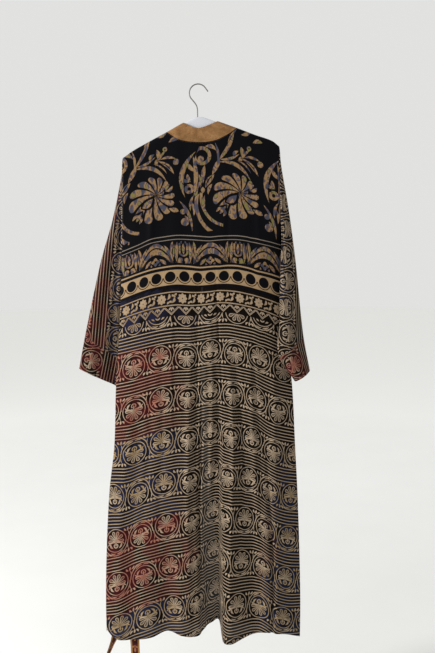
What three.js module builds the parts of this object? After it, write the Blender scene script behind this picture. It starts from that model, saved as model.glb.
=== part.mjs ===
// An ankle-length open-front kimono robe in thin printed silk, hanging on a white hanger with a wire hook.
// Millimetres, +Z up. The origin is the underside of the hook's top, where a rod carries it.
// The garment's back faces -Y and its open front faces +Y, so +X is the wearer's right.
// Each sewn piece is a thin wall of its own: back, fronts, sleeves, cuffs, neck band, belt and belt loops.
import * as THREE from "three";

// ---- driving dimensions ----
const CLOTH = 2; // wall of each cloth piece
const SEAM = 0.3; // gap between two pieces that are sewn together
const ARMHOLE = 250; // armhole seam, from shoulder ridge to underarm
const HOOK_WIRE = 1.6; // radius of the hook's wire
const HOOK_BEND = 23; // radius of the hook's round bend, at the wire's middle
const HANGER_HALF = 4.6; // half thickness of the hanger's bar
const OVER_BAR = { room: 8, round: 4 }; // how far the cloth stands off the bar, and how round its ridge is
const FALL = 90; // distance below the ridge over which the cloth takes its full stand-off
const TURN = 3; // the same for the wall's own thickness
const SLEEVE_LENGTH = 590;
const BELT_WIDTH = 30;
const NECK = { left: -84, right: 102 }; // where the neckline crosses the shoulders
const BAND_INNER = { left: -40, right: 52 }; // inner edge of the neck band on the shoulders

// Shoulder ridge of the cloth, left tip to right tip, and the virtual line across the neck.
const RIDGE = [
  { x: -200, z: -187 },
  { x: -174, z: -169 },
  { x: -128, z: -144 },
  { x: -84, z: -121 },
  { x: -40, z: -97 },
  { x: 0, z: -79.5 },
  { x: 47, z: -92.5 },
  { x: 102, z: -112 },
  { x: 149, z: -130 },
  { x: 194, z: -146 },
  { x: 212, z: -160 },
];
// Back neckline seam.
const NECKLINE = [
  { x: -84, z: -121 },
  { x: -56, z: -139 },
  { x: -22, z: -147 },
  { x: 18, z: -148 },
  { x: 50, z: -142 },
  { x: 80, z: -127 },
  { x: 102, z: -112 },
];
// Upper edge of the neck band behind the neck.
const BAND_TOP = [
  { x: -40, z: -97 },
  { x: -22, z: -106 },
  { x: -3, z: -112 },
  { x: 18, z: -108 },
  { x: 52, z: -94 },
];
// Side edges of the body and how far back and front stand off the middle plane, by height.
const BODY = [
  { z: -80, left: -200, right: 212, back: 0, front: 0 },
  { z: -190, left: -200, right: 212, back: 2, front: 2 },
  { z: -430, left: -207, right: 220, back: 9, front: 7 },
  { z: -650, left: -219, right: 232, back: 14, front: 10 },
  { z: -800, left: -231, right: 249, back: 18, front: 13 },
  { z: -966, left: -239, right: 258, back: 21, front: 15 },
  { z: -1094, left: -255, right: 265, back: 24, front: 17 },
  { z: -1250, left: -266, right: 271, back: 27, front: 19 },
  { z: -1415, left: -272, right: 275, back: 30, front: 21 },
  { z: -1560, left: -272, right: 274, back: 32, front: 22 },
];
// Hem of the back, by place across it, from -1 at the left side seam to 1 at the right.
const BACK_HEM = [
  { u: -1, z: -1502 },
  { u: -0.93, z: -1517 },
  { u: -0.8, z: -1522 },
  { u: -0.52, z: -1507 },
  { u: -0.36, z: -1491 },
  { u: -0.2, z: -1498 },
  { u: -0.06, z: -1500 },
  { u: 0.03, z: -1486 },
  { u: 0.1, z: -1474 },
  { u: 0.165, z: -1467 },
  { u: 0.21, z: -1514 },
  { u: 0.28, z: -1519 },
  { u: 0.4, z: -1510 },
  { u: 0.6, z: -1494 },
  { u: 0.72, z: -1493 },
  { u: 0.84, z: -1501 },
  { u: 1, z: -1518 },
];
// The one deep pleat at the middle of the back: its two walls, by place across, and how it deepens.
const PLEAT = {
  left: -0.03,
  floor: 0.06,
  floorEnd: 0.165,
  right: 0.21,
  depth: 37,
  from: -620,
  to: -1520,
};
// Softer folds. Depth is positive where the cloth falls inwards. They grow from one height to another.
const BACK_FOLDS = [
  { u: -0.36, width: 0.13, depth: 13, from: -1150, to: -1500 },
  { u: -0.72, width: 0.08, depth: 7, from: -640, to: -1050 },
  { u: -0.9, width: 0.07, depth: -7, from: -1250, to: -1500 },
  { u: -0.2, width: 0.09, depth: -6, from: -800, to: -1400 },
  { u: 0.3, width: 0.07, depth: -9, from: -800, to: -1450 },
  { u: 0.52, width: 0.13, depth: 14, from: -850, to: -1450 },
  { u: 0.74, width: 0.08, depth: -9, from: -700, to: -1400 },
];
const FRONT_FOLDS = [
  { u: -0.78, width: 0.12, depth: 6, from: -500, to: -1450 },
  { u: -0.45, width: 0.12, depth: -7, from: -600, to: -1450 },
  { u: 0.52, width: 0.12, depth: -6, from: -600, to: -1450 },
  { u: 0.8, width: 0.1, depth: 6, from: -700, to: -1450 },
];
// Inner edges of the two front bands, by height: closed at the waist and parted at the hem.
const FRONT_EDGE = [
  { z: -90, left: -40, right: 52 },
  { z: -200, left: -27, right: 39 },
  { z: -330, left: -12, right: 23 },
  { z: -470, left: 1, right: 10 },
  { z: -700, left: 1, right: 11 },
  { z: -1100, left: -3, right: 28 },
  { z: -1560, left: -9, right: 62 },
];
const BAND_WIDTH = 46;
const FRONT_HEM = { side: -1506, middle: -1500 };

// Distances of the cloth's rows below its top edge, down to the underarm, then evenly to the hem.
const UPPER_ROWS = [0, 1, 4.5, 13, 30, 55, 90, 130, 170, 210, ARMHOLE];
const LOWER_ROWS = 16;
// Columns of the back: stretches of even steps, so that the neck and the pleat fall on columns.
const SHOULDER = { middle: 6, half: 206 };
const NECK_U = {
  left: (NECK.left - SHOULDER.middle) / SHOULDER.half,
  right: (NECK.right - SHOULDER.middle) / SHOULDER.half,
};
const NECK_CORNER = 0.02;
const BACK_COLUMNS = [
  { from: -1, to: NECK_U.left, steps: 7 },
  { from: NECK_U.left, to: NECK_U.left + NECK_CORNER, steps: 2 },
  { from: NECK_U.left + NECK_CORNER, to: PLEAT.left, steps: 5 },
  { from: PLEAT.left, to: PLEAT.floor, steps: 3 },
  { from: PLEAT.floor, to: PLEAT.floorEnd, steps: 3 },
  { from: PLEAT.floorEnd, to: PLEAT.right, steps: 3 },
  { from: PLEAT.right, to: NECK_U.right - NECK_CORNER, steps: 4 },
  { from: NECK_U.right - NECK_CORNER, to: NECK_U.right, steps: 2 },
  { from: NECK_U.right, to: 1, steps: 7 },
];
const FRONT_STEPS = 11;

// Sleeves hang from the armhole. A row is a crossing at a share t of the way to the cuff: the place of its
// outer edge (x, y, z), the place of its underarm edge (ux, uy, uz) and half its thickness.
const SLEEVES = {
  left: [
    { t: 0, x: -201.5, y: 0, z: -187, ux: -208.5, uy: 0.5, uz: -438, half: 10 },
    { t: 0.1, x: -205, y: 0, z: -231, ux: -211.5, uy: 8, uz: -468, half: 12 },
    { t: 0.3, x: -232, y: 1, z: -350, ux: -209, uy: 15, uz: -540, half: 14 },
    { t: 0.5, x: -266, y: 3, z: -460, ux: -209, uy: 21, uz: -618, half: 13 },
    { t: 0.8, x: -312, y: 8, z: -650, ux: -209, uy: 29, uz: -735, half: 12 },
    { t: 1, x: -334, y: 12, z: -753, ux: -208, uy: 34, uz: -818, half: 13 },
  ],
  right: [
    { t: 0, x: 213.5, y: 0, z: -160, ux: 221.3, uy: -0.5, uz: -411, half: 10 },
    { t: 0.1, x: 218, y: 0, z: -209, ux: 222, uy: -9, uz: -448, half: 12 },
    { t: 0.3, x: 239, y: 0, z: -330, ux: 217, uy: -17, uz: -535, half: 15 },
    { t: 0.5, x: 257, y: 0, z: -460, ux: 213, uy: -29, uz: -620, half: 16 },
    { t: 0.8, x: 278, y: -4, z: -655, ux: 210, uy: -41, uz: -709, half: 18 },
    { t: 1, x: 296, y: -12, z: -755, ux: 254, uy: -24, uz: -782, half: 30 },
  ],
};
const SLEEVE_LIE = 0.75; // share of a crossing by which it has moved over to its underarm edge's depth
const CUFF_FROM = 0.82; // share of the sleeve's length where the cuff is sewn on
const SLEEVE_ROWS = [0, 0.02, 0.05, 0.1, 0.17, 0.25, 0.34, 0.44, 0.54, 0.64, 0.73];
const CUFF_ROWS = [0.88, 0.94, 1];

// The belt hangs doubled through the left loop: gathered there and flat below. A row has the strip's middle,
// its half width, how far it lies off the front, and its turn towards edge-on in degrees.
const LOOP = { z: -622, height: 56, width: 5, thick: 1.6 };
const LOOPS = [
  { name: "loop_left", x: -165, rise: 10.5 },
  { name: "loop_right", x: 176, rise: 9 },
];
const BELT_PATH = [
  { x: -300, z: -1642, half: 12, off: 14, turn: 64 },
  { x: -266, z: -1568, half: 12, off: 16, turn: 58 },
  { x: -246, z: -1500, half: 13, off: 16, turn: 30 },
  { x: -226, z: -1300, half: 15, off: 10, turn: 0 },
  { x: -204, z: -1050, half: 15, off: 8, turn: 0 },
  { x: -188, z: -850, half: 14, off: 7, turn: 0 },
  { x: -184, z: -720, half: 11, off: 6, turn: 0 },
  { x: -183, z: -672, half: 7, off: 5, turn: 0 },
  { x: -178, z: -642.6, half: 5, off: 5, turn: 0 },
  { x: -165, z: -631, half: 5, off: 5, turn: 0 },
  { x: -152, z: -642.6, half: 5, off: 5, turn: 0 },
  { x: -148, z: -672, half: 7, off: 5, turn: 0 },
  { x: -150, z: -720, half: 11, off: 6, turn: 0 },
  { x: -154, z: -850, half: 14, off: 7, turn: 0 },
  { x: -166, z: -1050, half: 15, off: 8, turn: 0 },
  { x: -184, z: -1300, half: 15, off: 9, turn: 0 },
  { x: -196, z: -1500, half: 14, off: 12, turn: 0 },
  { x: -197, z: -1580, half: 13, off: 14, turn: 0 },
  { x: -194, z: -1666, half: 14, off: 14, turn: 0 },
];
const BELT_STEPS = 54;
const BELT_GATHER = { half: 5, thick: 6 };

// Hanger bar: how deep it is, from its middle out to its tips.
const HANGER_TIPS = { left: -191, right: 200 };
const HANGER_DEPTH = { middle: 44, tip: 15 };
const HANGER_BEVEL = 3.4;
const HANGER_UNDER = CLOTH + 1.4; // the bar's top below the shoulder ridge of the cloth


// Hook: its round bend in degrees, the straight tip before it, and the reverse curve down to the stem.
const HOOK_ARC = { from: 36, to: 216, step: 15 };
const HOOK_TIP = [13, 6.5];
const HOOK_STEM = [
  { x: -10.5, z: -44.5 },
  { x: -4.8, z: -53 },
  { x: -2.4, z: -62 },
  { x: -2, z: -71 },
];

// ---- helpers ----
const lerp = (a, b, t) => a + (b - a) * t;
const ramp = (t) => {
  const c = Math.min(1, Math.max(0, t));
  return c * c * (3 - 2 * c);
};

// Value of one column of a table at a place along another, on a smooth curve through its rows.
function along(table, by, key, at) {
  const sign = table[1][by] > table[0][by] ? 1 : -1;
  const last = table.length - 1;
  let i = 0;
  while (i < last - 1 && sign * (at - table[i + 1][by]) > 0) i += 1;
  const slope = (k) => {
    const a = table[Math.max(0, k - 1)];
    const b = table[Math.min(last, k + 1)];
    return (b[key] - a[key]) / (b[by] - a[by]);
  };
  const p = table[i];
  const q = table[i + 1];
  const step = q[by] - p[by];
  const s = Math.min(1, Math.max(0, (at - p[by]) / step));
  const s2 = s * s;
  const s3 = s2 * s;
  return (
    (2 * s3 - 3 * s2 + 1) * p[key] +
    (s3 - 2 * s2 + s) * step * slope(i) +
    (3 * s2 - 2 * s3) * q[key] +
    (s3 - s2) * step * slope(i + 1)
  );
}

// ---- the body's surface ----
const ridgeAt = (x) => along(RIDGE, "x", "z", x);
const sideAt = (z, side) => along(BODY, "z", side, Math.min(BODY[1].z, z));
const bulkAt = (z, side) => along(BODY, "z", side, z);

// Place across the body at a height, from -1 to 1.
function acrossAt(x, z) {
  const left = sideAt(z, "left");
  const right = sideAt(z, "right");
  return (2 * (x - left)) / (right - left) - 1;
}

function foldsAt(folds, u, z) {
  return folds.reduce((sum, f) => {
    const grown = ramp((f.from - z) / (f.from - f.to));
    return sum + f.depth * grown * Math.exp(-(((u - f.u) / f.width) ** 2));
  }, 0);
}

function pleatAt(u, z) {
  const grown = Math.max(0, Math.min(1, (PLEAT.from - z) / (PLEAT.from - PLEAT.to)));
  const intoIt = ramp((u - PLEAT.left) / (PLEAT.floor - PLEAT.left));
  const outOfIt = ramp((u - PLEAT.floorEnd) / (PLEAT.right - PLEAT.floorEnd));
  return PLEAT.depth * grown ** 1.5 * intoIt * (1 - outOfIt);
}

// How far the outer face of the cloth stands from the middle plane, on the back or the front.
function standOff(x, z, side) {
  const below = Math.max(0, ridgeAt(x) - z);
  const u = Math.min(1, Math.max(-1, acrossAt(x, z)));
  const tip = u < 0 ? RIDGE[0].z : RIDGE[RIDGE.length - 1].z;
  const downArm = Math.min(1, Math.max(0, (tip - z) / ARMHOLE));
  const openEdge = Math.sqrt(1 - downArm ** 2);
  const envelope = 1 - (1 - openEdge) * Math.abs(u) ** 4;
  const overBar = OVER_BAR.room * Math.sqrt(below / (below + OVER_BAR.round));
  const hang = bulkAt(z, side) * (1 - Math.exp(-below / FALL));
  const folds =
    side === "back"
      ? foldsAt(BACK_FOLDS, u, z) + pleatAt(u, z)
      : foldsAt(FRONT_FOLDS, u, z);
  const quiet = 1 - Math.abs(u) ** 10;
  return CLOTH * (1 - Math.exp(-below / TURN)) + (overBar + hang) * envelope - folds * quiet;
}

function rowsDown(top, hem) {
  const rows = UPPER_ROWS.map((d) => top - d);
  const start = top - ARMHOLE;
  for (let i = 1; i <= LOWER_ROWS; i += 1) rows.push(lerp(start, hem, i / LOWER_ROWS));
  return rows;
}

// A point on the cloth's outer face and the one a wall's thickness inside it, along the surface's normal.
// The sign is -1 on the back and 1 on the front. Both stay on their own side of the middle plane.
function throughCloth(x, z, sign, gap) {
  const side = sign < 0 ? "back" : "front";
  const off = (px, pz) => standOff(px, pz, side);
  const d = 0.5;
  const y = off(x, z);
  const normal = new THREE.Vector3(
    (off(x - d, z) - off(x + d, z)) / (2 * d),
    sign,
    (off(x, z - d) - off(x, z + d)) / (2 * d),
  ).normalize();
  const outer = new THREE.Vector3(x, sign * (gap + y), z);
  const inner = outer.clone().addScaledVector(normal, -CLOTH);
  inner.y = sign * Math.max(gap, sign * inner.y);
  return { outer, inner };
}

// ---- walls from grids of points ----
// One closed solid between an outer and an inner grid. A round grid joins its last column to its first.
function solidBetween(outer, inner, round = false) {
  const rows = outer.length;
  const columns = outer[0].length;
  const points = [];
  outer.forEach((row) => row.forEach((p) => points.push(p)));
  inner.forEach((row) => row.forEach((p) => points.push(p)));
  const out = (i, j) => i * columns + (j % columns);
  const within = (i, j) => rows * columns + out(i, j);
  const faces = [];
  const quad = (a, b, c, d) => faces.push(a, b, c, a, c, d);
  const spans = round ? columns : columns - 1;
  for (let i = 0; i < rows - 1; i += 1) {
    for (let j = 0; j < spans; j += 1) {
      quad(out(i, j), out(i + 1, j), out(i + 1, j + 1), out(i, j + 1));
      quad(within(i, j + 1), within(i + 1, j + 1), within(i + 1, j), within(i, j));
    }
  }
  for (let j = 0; j < spans; j += 1) {
    quad(out(0, j), out(0, j + 1), within(0, j + 1), within(0, j));
    quad(within(rows - 1, j), within(rows - 1, j + 1), out(rows - 1, j + 1), out(rows - 1, j));
  }
  if (!round) {
    const end = columns - 1;
    for (let i = 0; i < rows - 1; i += 1) {
      quad(within(i, 0), within(i + 1, 0), out(i + 1, 0), out(i, 0));
      quad(out(i, end), out(i + 1, end), within(i + 1, end), within(i, end));
    }
  }
  return facingOut(points, faces);
}

// A closed solid through rings of points, with a fan of faces over each end.
function solidThrough(rings) {
  const sides = rings[0].length;
  const points = rings.flat();
  const faces = [];
  for (let i = 0; i < rings.length - 1; i += 1) {
    for (let j = 0; j < sides; j += 1) {
      const a = i * sides + j;
      const b = i * sides + ((j + 1) % sides);
      faces.push(a, a + sides, b + sides, a, b + sides, b);
    }
  }
  const lastRing = (rings.length - 1) * sides;
  for (let j = 1; j < sides - 1; j += 1) {
    faces.push(0, j, j + 1);
    faces.push(lastRing, lastRing + j + 1, lastRing + j);
  }
  return facingOut(points, faces);
}

function facingOut(points, faces) {
  let volume = 0;
  for (let i = 0; i < faces.length; i += 3) {
    const [a, b, c] = [points[faces[i]], points[faces[i + 1]], points[faces[i + 2]]];
    volume += a.dot(b.clone().cross(c));
  }
  const index = volume < 0 ? faces.reverse() : faces;
  const geometry = new THREE.BufferGeometry().setFromPoints(points);
  geometry.setIndex(index);
  geometry.computeVertexNormals();
  return geometry;
}

const FINISHES = {
  print: new THREE.MeshStandardMaterial({ color: 0x55463f, roughness: 0.75, metalness: 0 }),
  band: new THREE.MeshStandardMaterial({ color: 0x956e44, roughness: 0.7, metalness: 0 }),
  belt: new THREE.MeshStandardMaterial({ color: 0x4a2a28, roughness: 0.75, metalness: 0 }),
  hanger: new THREE.MeshStandardMaterial({ color: 0xe9eaec, roughness: 0.4, metalness: 0 }),
  wire: new THREE.MeshStandardMaterial({ color: 0xa9a8a4, roughness: 0.3, metalness: 1 }),
};

const kimono = new THREE.Group();

function add(name, geometry, finish) {
  const mesh = new THREE.Mesh(geometry, FINISHES[finish]);
  mesh.name = name;
  kimono.add(mesh);
}

// A wall from a grid of paired points, each with its outer and its inner one.
function addCloth(name, pairs, finish) {
  const outer = pairs.map((row) => row.map((p) => p.outer));
  const inner = pairs.map((row) => row.map((p) => p.inner));
  add(name, solidBetween(outer, inner), finish);
}

// ---- back and fronts ----
const onFront = (x, z) => new THREE.Vector3(x, SEAM / 2 + standOff(x, z, "front"), z);

function backColumns() {
  const columns = [BACK_COLUMNS[0].from];
  BACK_COLUMNS.forEach((s) => {
    for (let i = 1; i <= s.steps; i += 1) columns.push(lerp(s.from, s.to, i / s.steps));
  });
  return columns;
}

const isNeck = (u) => u > NECK_U.left + 1e-6 && u < NECK_U.right - 1e-6;

function backTop(u) {
  const x = SHOULDER.middle + SHOULDER.half * u;
  return isNeck(u) ? along(NECKLINE, "x", "z", x) : ridgeAt(x);
}

function backGrid() {
  const columns = backColumns();
  const heights = columns.map((u) => rowsDown(backTop(u), along(BACK_HEM, "u", "z", u)));
  return heights[0].map((_, i) =>
    columns.map((u, j) => {
      const z = heights[j][i];
      const x = lerp(sideAt(z, "left"), sideAt(z, "right"), (u + 1) / 2);
      return throughCloth(x, z, -1, SEAM / 2);
    }),
  );
}

// A front runs from its side seam to the seam of the neck band.
function bandSeam(z, side) {
  const inner = along(FRONT_EDGE, "z", side, z);
  return side === "left" ? inner - BAND_WIDTH : inner + BAND_WIDTH;
}

function frontEdgeRows(side) {
  const neckX = NECK[side];
  const rows = rowsDown(ridgeAt(neckX), FRONT_HEM.middle);
  return rows.map((z, i) => {
    const settle = ramp(i / 8);
    return { x: lerp(neckX, bandSeam(z, side), settle), z };
  });
}

function frontGrid(side) {
  const tipX = side === "left" ? RIDGE[0].x : RIDGE[RIDGE.length - 1].x;
  const edge = frontEdgeRows(side);
  const sideRows = rowsDown(ridgeAt(tipX), FRONT_HEM.side);
  return edge.map((e, i) => {
    const row = [];
    for (let j = 0; j <= FRONT_STEPS; j += 1) {
      const share = j / FRONT_STEPS;
      const straight = lerp(tipX, NECK[side], share);
      const topZ = ridgeAt(straight);
      const hemZ = lerp(FRONT_HEM.side, FRONT_HEM.middle, share);
      const z = j === FRONT_STEPS ? e.z : rowsDown(topZ, hemZ)[i];
      const sideX = sideAt(j === 0 ? sideRows[i] : z, side);
      const x = i === 0 ? straight : lerp(sideX, e.x, share);
      row.push(throughCloth(x, z, 1, SEAM / 2));
    }
    return row;
  });
}

addCloth("back", backGrid(), "print");
addCloth("front_left", frontGrid("left"), "print");
addCloth("front_right", frontGrid("right"), "print");

// ---- neck band: up one front, round the neck and down the other front ----
// Each crossing is a line from the seam to the band's inner edge, on the body's own surface.
const BAND_STEPS = 3;

function bandCrossing(seam, inner, sign) {
  const gap = SEAM / Math.hypot(inner.x - seam.x, inner.z - seam.z);
  const row = [];
  for (let k = 0; k <= BAND_STEPS; k += 1) {
    const share = lerp(gap, 1, k / BAND_STEPS);
    const x = lerp(seam.x, inner.x, share);
    const z = lerp(seam.z, inner.z, share);
    const onRidge = seam.ridge ? ridgeAt(x) : z;
    row.push(throughCloth(x, onRidge, sign, 0));
  }
  return row;
}

function bandFront(side) {
  const seams = frontEdgeRows(side);
  const innerTop = ridgeAt(BAND_INNER[side]);
  const inners = rowsDown(innerTop, FRONT_HEM.middle);
  return seams.map((seam, i) => {
    const z = inners[i];
    const settle = ramp(i / 8);
    const x = lerp(BAND_INNER[side], along(FRONT_EDGE, "z", side, z), settle);
    return bandCrossing({ ...seam, ridge: i === 0 }, { x, z }, 1);
  });
}

function bandBehind() {
  return backColumns().filter(isNeck).map((u) => {
    const a = (u - NECK_U.left) / (NECK_U.right - NECK_U.left);
    const seamX = lerp(NECK.left, NECK.right, a);
    const innerX = lerp(BAND_INNER.left, BAND_INNER.right, a);
    const seam = { x: seamX, z: along(NECKLINE, "x", "z", seamX) };
    const inner = { x: innerX, z: along(BAND_TOP, "x", "z", innerX) };
    return bandCrossing(seam, inner, -1);
  });
}

function addNeckBand() {
  const left = bandFront("left").reverse();
  const right = bandFront("right");
  addCloth("neck_band", [...left, ...bandBehind(), ...right], "band");
}

addNeckBand();

// ---- sleeves and cuffs ----
const LOOP_HALF = UPPER_ROWS.length - 1;

// One ring round a sleeve. It matches the armhole's edge at 0 and is a flat oval from a third of the way on.
// The inner face's ring is drawn in by the wall's thickness.
function sleeveRing(side, t, drawnIn) {
  const at = (key) => along(SLEEVES[side], "t", key, t);
  const tip = side === "left" ? RIDGE[0] : RIDGE[RIDGE.length - 1];
  const outward = side === "left" ? -1 : 1;
  const oval = ramp(t / 0.3);
  const leave = Math.min(1, t / SLEEVE_ROWS[1]);
  const depth = Math.hypot(at("x") - at("ux"), at("z") - at("uz"));
  const ring = [];
  for (let k = 0; k < 2 * LOOP_HALF; k += 1) {
    const down = k <= LOOP_HALF ? k : 2 * LOOP_HALF - k;
    const sign = k <= LOOP_HALF ? -1 : 1;
    const isEdge = down === 0 || down === LOOP_HALF;
    const drop = UPPER_ROWS[down];
    const even = (1 - Math.cos((Math.PI * down) / LOOP_HALF)) / 2;
    const share = lerp(drop / ARMHOLE, even, oval);
    const edgeZ = tip.z - drop;
    const edgeX = sideAt(edgeZ, side) + outward * SEAM;
    const edgeY = isEdge ? 0 : standOff(edgeX, edgeZ, sign < 0 ? "back" : "front");
    const roundY = at("half") * (1 - (2 * share - 1) ** 2) ** 0.4;
    const y = Math.max(0, lerp(edgeY, roundY, oval) - (isEdge ? 0 : drawnIn));
    const across = lerp(share, 0.5, (2.6 * drawnIn) / depth);
    const lie = lerp(at("y"), at("uy"), ramp(across / SLEEVE_LIE));
    const straightX = lerp(at("x"), at("ux"), across);
    const straightZ = lerp(at("z"), at("uz"), across);
    const endInset = isEdge ? drawnIn * (down === 0 ? -1 : 1) : 0;
    const x = lerp(edgeX, straightX, leave);
    const z = lerp(edgeZ + endInset, straightZ, leave);
    ring.push(new THREE.Vector3(x, lie + sign * y, z));
  }
  return ring;
}

function addSleeve(side) {
  const halfSeam = SEAM / 2 / SLEEVE_LENGTH;
  const rows = {
    sleeve: [...SLEEVE_ROWS, CUFF_FROM - halfSeam],
    cuff: [CUFF_FROM + halfSeam, ...CUFF_ROWS],
  };
  Object.entries(rows).forEach(([piece, places]) => {
    const outer = places.map((t) => sleeveRing(side, t, 0));
    const inner = places.map((t) => sleeveRing(side, t, CLOTH));
    add(`${piece}_${side}`, solidBetween(outer, inner, true), "print");
  });
}

addSleeve("left");
addSleeve("right");

// ---- belt and loops ----
// A flat closed section, wide in the cloth's plane and thin across it.
function stripRing(centre, across, out, half, thick) {
  const corners = [
    [-1, 0],
    [-0.92, 0.5],
    [0, 0.5],
    [0.92, 0.5],
    [1, 0],
    [0.92, -0.5],
    [0, -0.5],
    [-0.92, -0.5],
  ];
  return corners.map(([a, b]) =>
    centre
      .clone()
      .addScaledVector(across, a * half)
      .addScaledVector(out, b * thick),
  );
}

function addBelt() {
  const table = BELT_PATH.map((row, i) => ({ s: i, ...row }));
  const centre = (s) => {
    const x = along(table, "s", "x", s);
    const z = along(table, "s", "z", s);
    const onCloth = Math.max(z, FRONT_HEM.side);
    const lift = along(table, "s", "off", s);
    return new THREE.Vector3(x, SEAM / 2 + standOff(x, onCloth, "front") + lift, z);
  };
  const out = new THREE.Vector3(0, 1, 0);
  const rings = [];
  for (let i = 0; i <= BELT_STEPS; i += 1) {
    const s = ((table.length - 1) * i) / BELT_STEPS;
    const way = centre(s + 0.01).sub(centre(s - 0.01));
    way.y = 0;
    const turn = THREE.MathUtils.degToRad(along(table, "s", "turn", s));
    const flatWay = way.normalize().clone().cross(out);
    const across = flatWay.clone().applyAxisAngle(way, turn);
    const facing = out.clone().applyAxisAngle(way, turn);
    const half = Math.min(BELT_WIDTH / 2, along(table, "s", "half", s));
    const spread = (half - BELT_GATHER.half) / (BELT_WIDTH / 2 - BELT_GATHER.half);
    const thick = lerp(BELT_GATHER.thick, CLOTH, ramp(1.7 * spread));
    rings.push(stripRing(centre(s), across, facing, half, thick));
  }
  add("belt", solidThrough(rings), "belt");
}

addBelt();

// A narrow strap whose ends lie on the front and whose middle stands off it.
function addLoop(name, x, rise) {
  const rings = [];
  const steps = 12;
  for (let i = 0; i <= steps; i += 1) {
    const share = i / steps;
    const z = LOOP.z + LOOP.height * (0.5 - share);
    const lift = SEAM + LOOP.thick / 2 + rise * Math.sin(Math.PI * share) ** 0.7;
    const centre = onFront(x, z);
    centre.y += lift;
    rings.push(
      stripRing(
        centre,
        new THREE.Vector3(1, 0, 0),
        new THREE.Vector3(0, 1, 0),
        LOOP.width / 2,
        LOOP.thick,
      ),
    );
  }
  add(name, solidThrough(rings), "print");
}

LOOPS.forEach(({ name, x, rise }) => addLoop(name, x, rise));

// ---- hanger ----
function addHangerBar() {
  const rings = [];
  const steps = 26;
  const halfLength = Math.max(-HANGER_TIPS.left, HANGER_TIPS.right);
  for (let i = 0; i <= steps; i += 1) {
    const x = lerp(HANGER_TIPS.left, HANGER_TIPS.right, i / steps);
    const top = ridgeAt(x) - HANGER_UNDER;
    const deep = lerp(HANGER_DEPTH.middle, HANGER_DEPTH.tip, ramp((1.1 * Math.abs(x)) / halfLength));
    const isTip = i === 0 || i === steps;
    const half = HANGER_HALF * (isTip ? 0.6 : 1);
    const rim = [
      [-0.5, 0],
      [0.5, 0],
      [1, HANGER_BEVEL],
      [1, deep - HANGER_BEVEL],
      [0.5, deep],
      [-0.5, deep],
      [-1, deep - HANGER_BEVEL],
      [-1, HANGER_BEVEL],
    ];
    rings.push(rim.map(([a, d]) => new THREE.Vector3(x, a * half, top - d)));
  }
  add("hanger_bar", solidThrough(rings), "hanger");
}

addHangerBar();

// The hook is a question mark of wire: a straight tip, the round bend, a reverse curve and the stem.
function hookLine() {
  const middle = { x: 0, z: HOOK_WIRE - HOOK_BEND };
  const points = [];
  const onBend = (degrees, straight = 0) => {
    const a = THREE.MathUtils.degToRad(degrees);
    return [
      middle.x + HOOK_BEND * Math.cos(a) + straight * Math.sin(a),
      middle.z + HOOK_BEND * Math.sin(a) - straight * Math.cos(a),
    ];
  };
  HOOK_TIP.forEach((straight) => points.push(onBend(HOOK_ARC.from, straight)));
  for (let a = HOOK_ARC.from; a <= HOOK_ARC.to; a += HOOK_ARC.step) points.push(onBend(a));
  HOOK_STEM.forEach(({ x, z }) => points.push([x, z]));
  const footX = HOOK_STEM[HOOK_STEM.length - 1].x;
  points.push([footX, ridgeAt(footX) - HANGER_UNDER + SEAM]);
  return points.map(([x, z]) => new THREE.Vector3(x, 0, z));
}

function addHook() {
  const line = hookLine();
  const curve = new THREE.CatmullRomCurve3(line);
  const steps = 44;
  const sides = 8;
  const rings = [];
  for (let i = 0; i <= steps; i += 1) {
    const centre = curve.getPointAt(i / steps);
    const way = i === steps ? new THREE.Vector3(0, 0, -1) : curve.getTangentAt(i / steps);
    const flank = new THREE.Vector3(0, 1, 0);
    const other = way.clone().cross(flank).normalize();
    const ring = [];
    for (let k = 0; k < sides; k += 1) {
      const a = (2 * Math.PI * (k + 0.5)) / sides;
      ring.push(
        centre
          .clone()
          .addScaledVector(flank, HOOK_WIRE * Math.cos(a))
          .addScaledVector(other, HOOK_WIRE * Math.sin(a)),
      );
    }
    rings.push(ring);
  }
  add("hook", solidThrough(rings), "wire");
}

addHook();

export default kimono;
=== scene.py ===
import math
from functools import reduce

import bmesh
import bpy
import numpy as np
from mathutils import Matrix, Vector


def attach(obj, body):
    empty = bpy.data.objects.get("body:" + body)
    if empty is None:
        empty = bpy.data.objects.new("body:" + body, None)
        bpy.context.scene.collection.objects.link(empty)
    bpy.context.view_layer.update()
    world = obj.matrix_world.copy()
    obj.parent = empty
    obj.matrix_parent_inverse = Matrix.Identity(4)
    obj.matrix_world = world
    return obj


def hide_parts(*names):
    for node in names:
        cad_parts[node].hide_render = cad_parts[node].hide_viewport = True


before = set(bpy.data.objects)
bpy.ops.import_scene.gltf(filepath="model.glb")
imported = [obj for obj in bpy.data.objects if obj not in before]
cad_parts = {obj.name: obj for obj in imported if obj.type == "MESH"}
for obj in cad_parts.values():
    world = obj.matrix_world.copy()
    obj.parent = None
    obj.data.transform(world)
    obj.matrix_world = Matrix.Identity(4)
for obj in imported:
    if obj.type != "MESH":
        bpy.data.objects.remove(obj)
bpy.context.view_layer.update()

# An ankle-length open-front kimono robe in thin printed silk, hung on a white hanger.
# Lengths are millimetres until a mesh is made. +Z is up, the back faces -Y, and the origin is under the hook.
# The form repeats the frame's own sizes, apart from two rows of the right sleeve's underarm edge, which lie
# 3 to 3.5 mm further in. The fine folds, the turned edges, the band's seam lip and the print are added to it.
MM = 0.001

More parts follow.
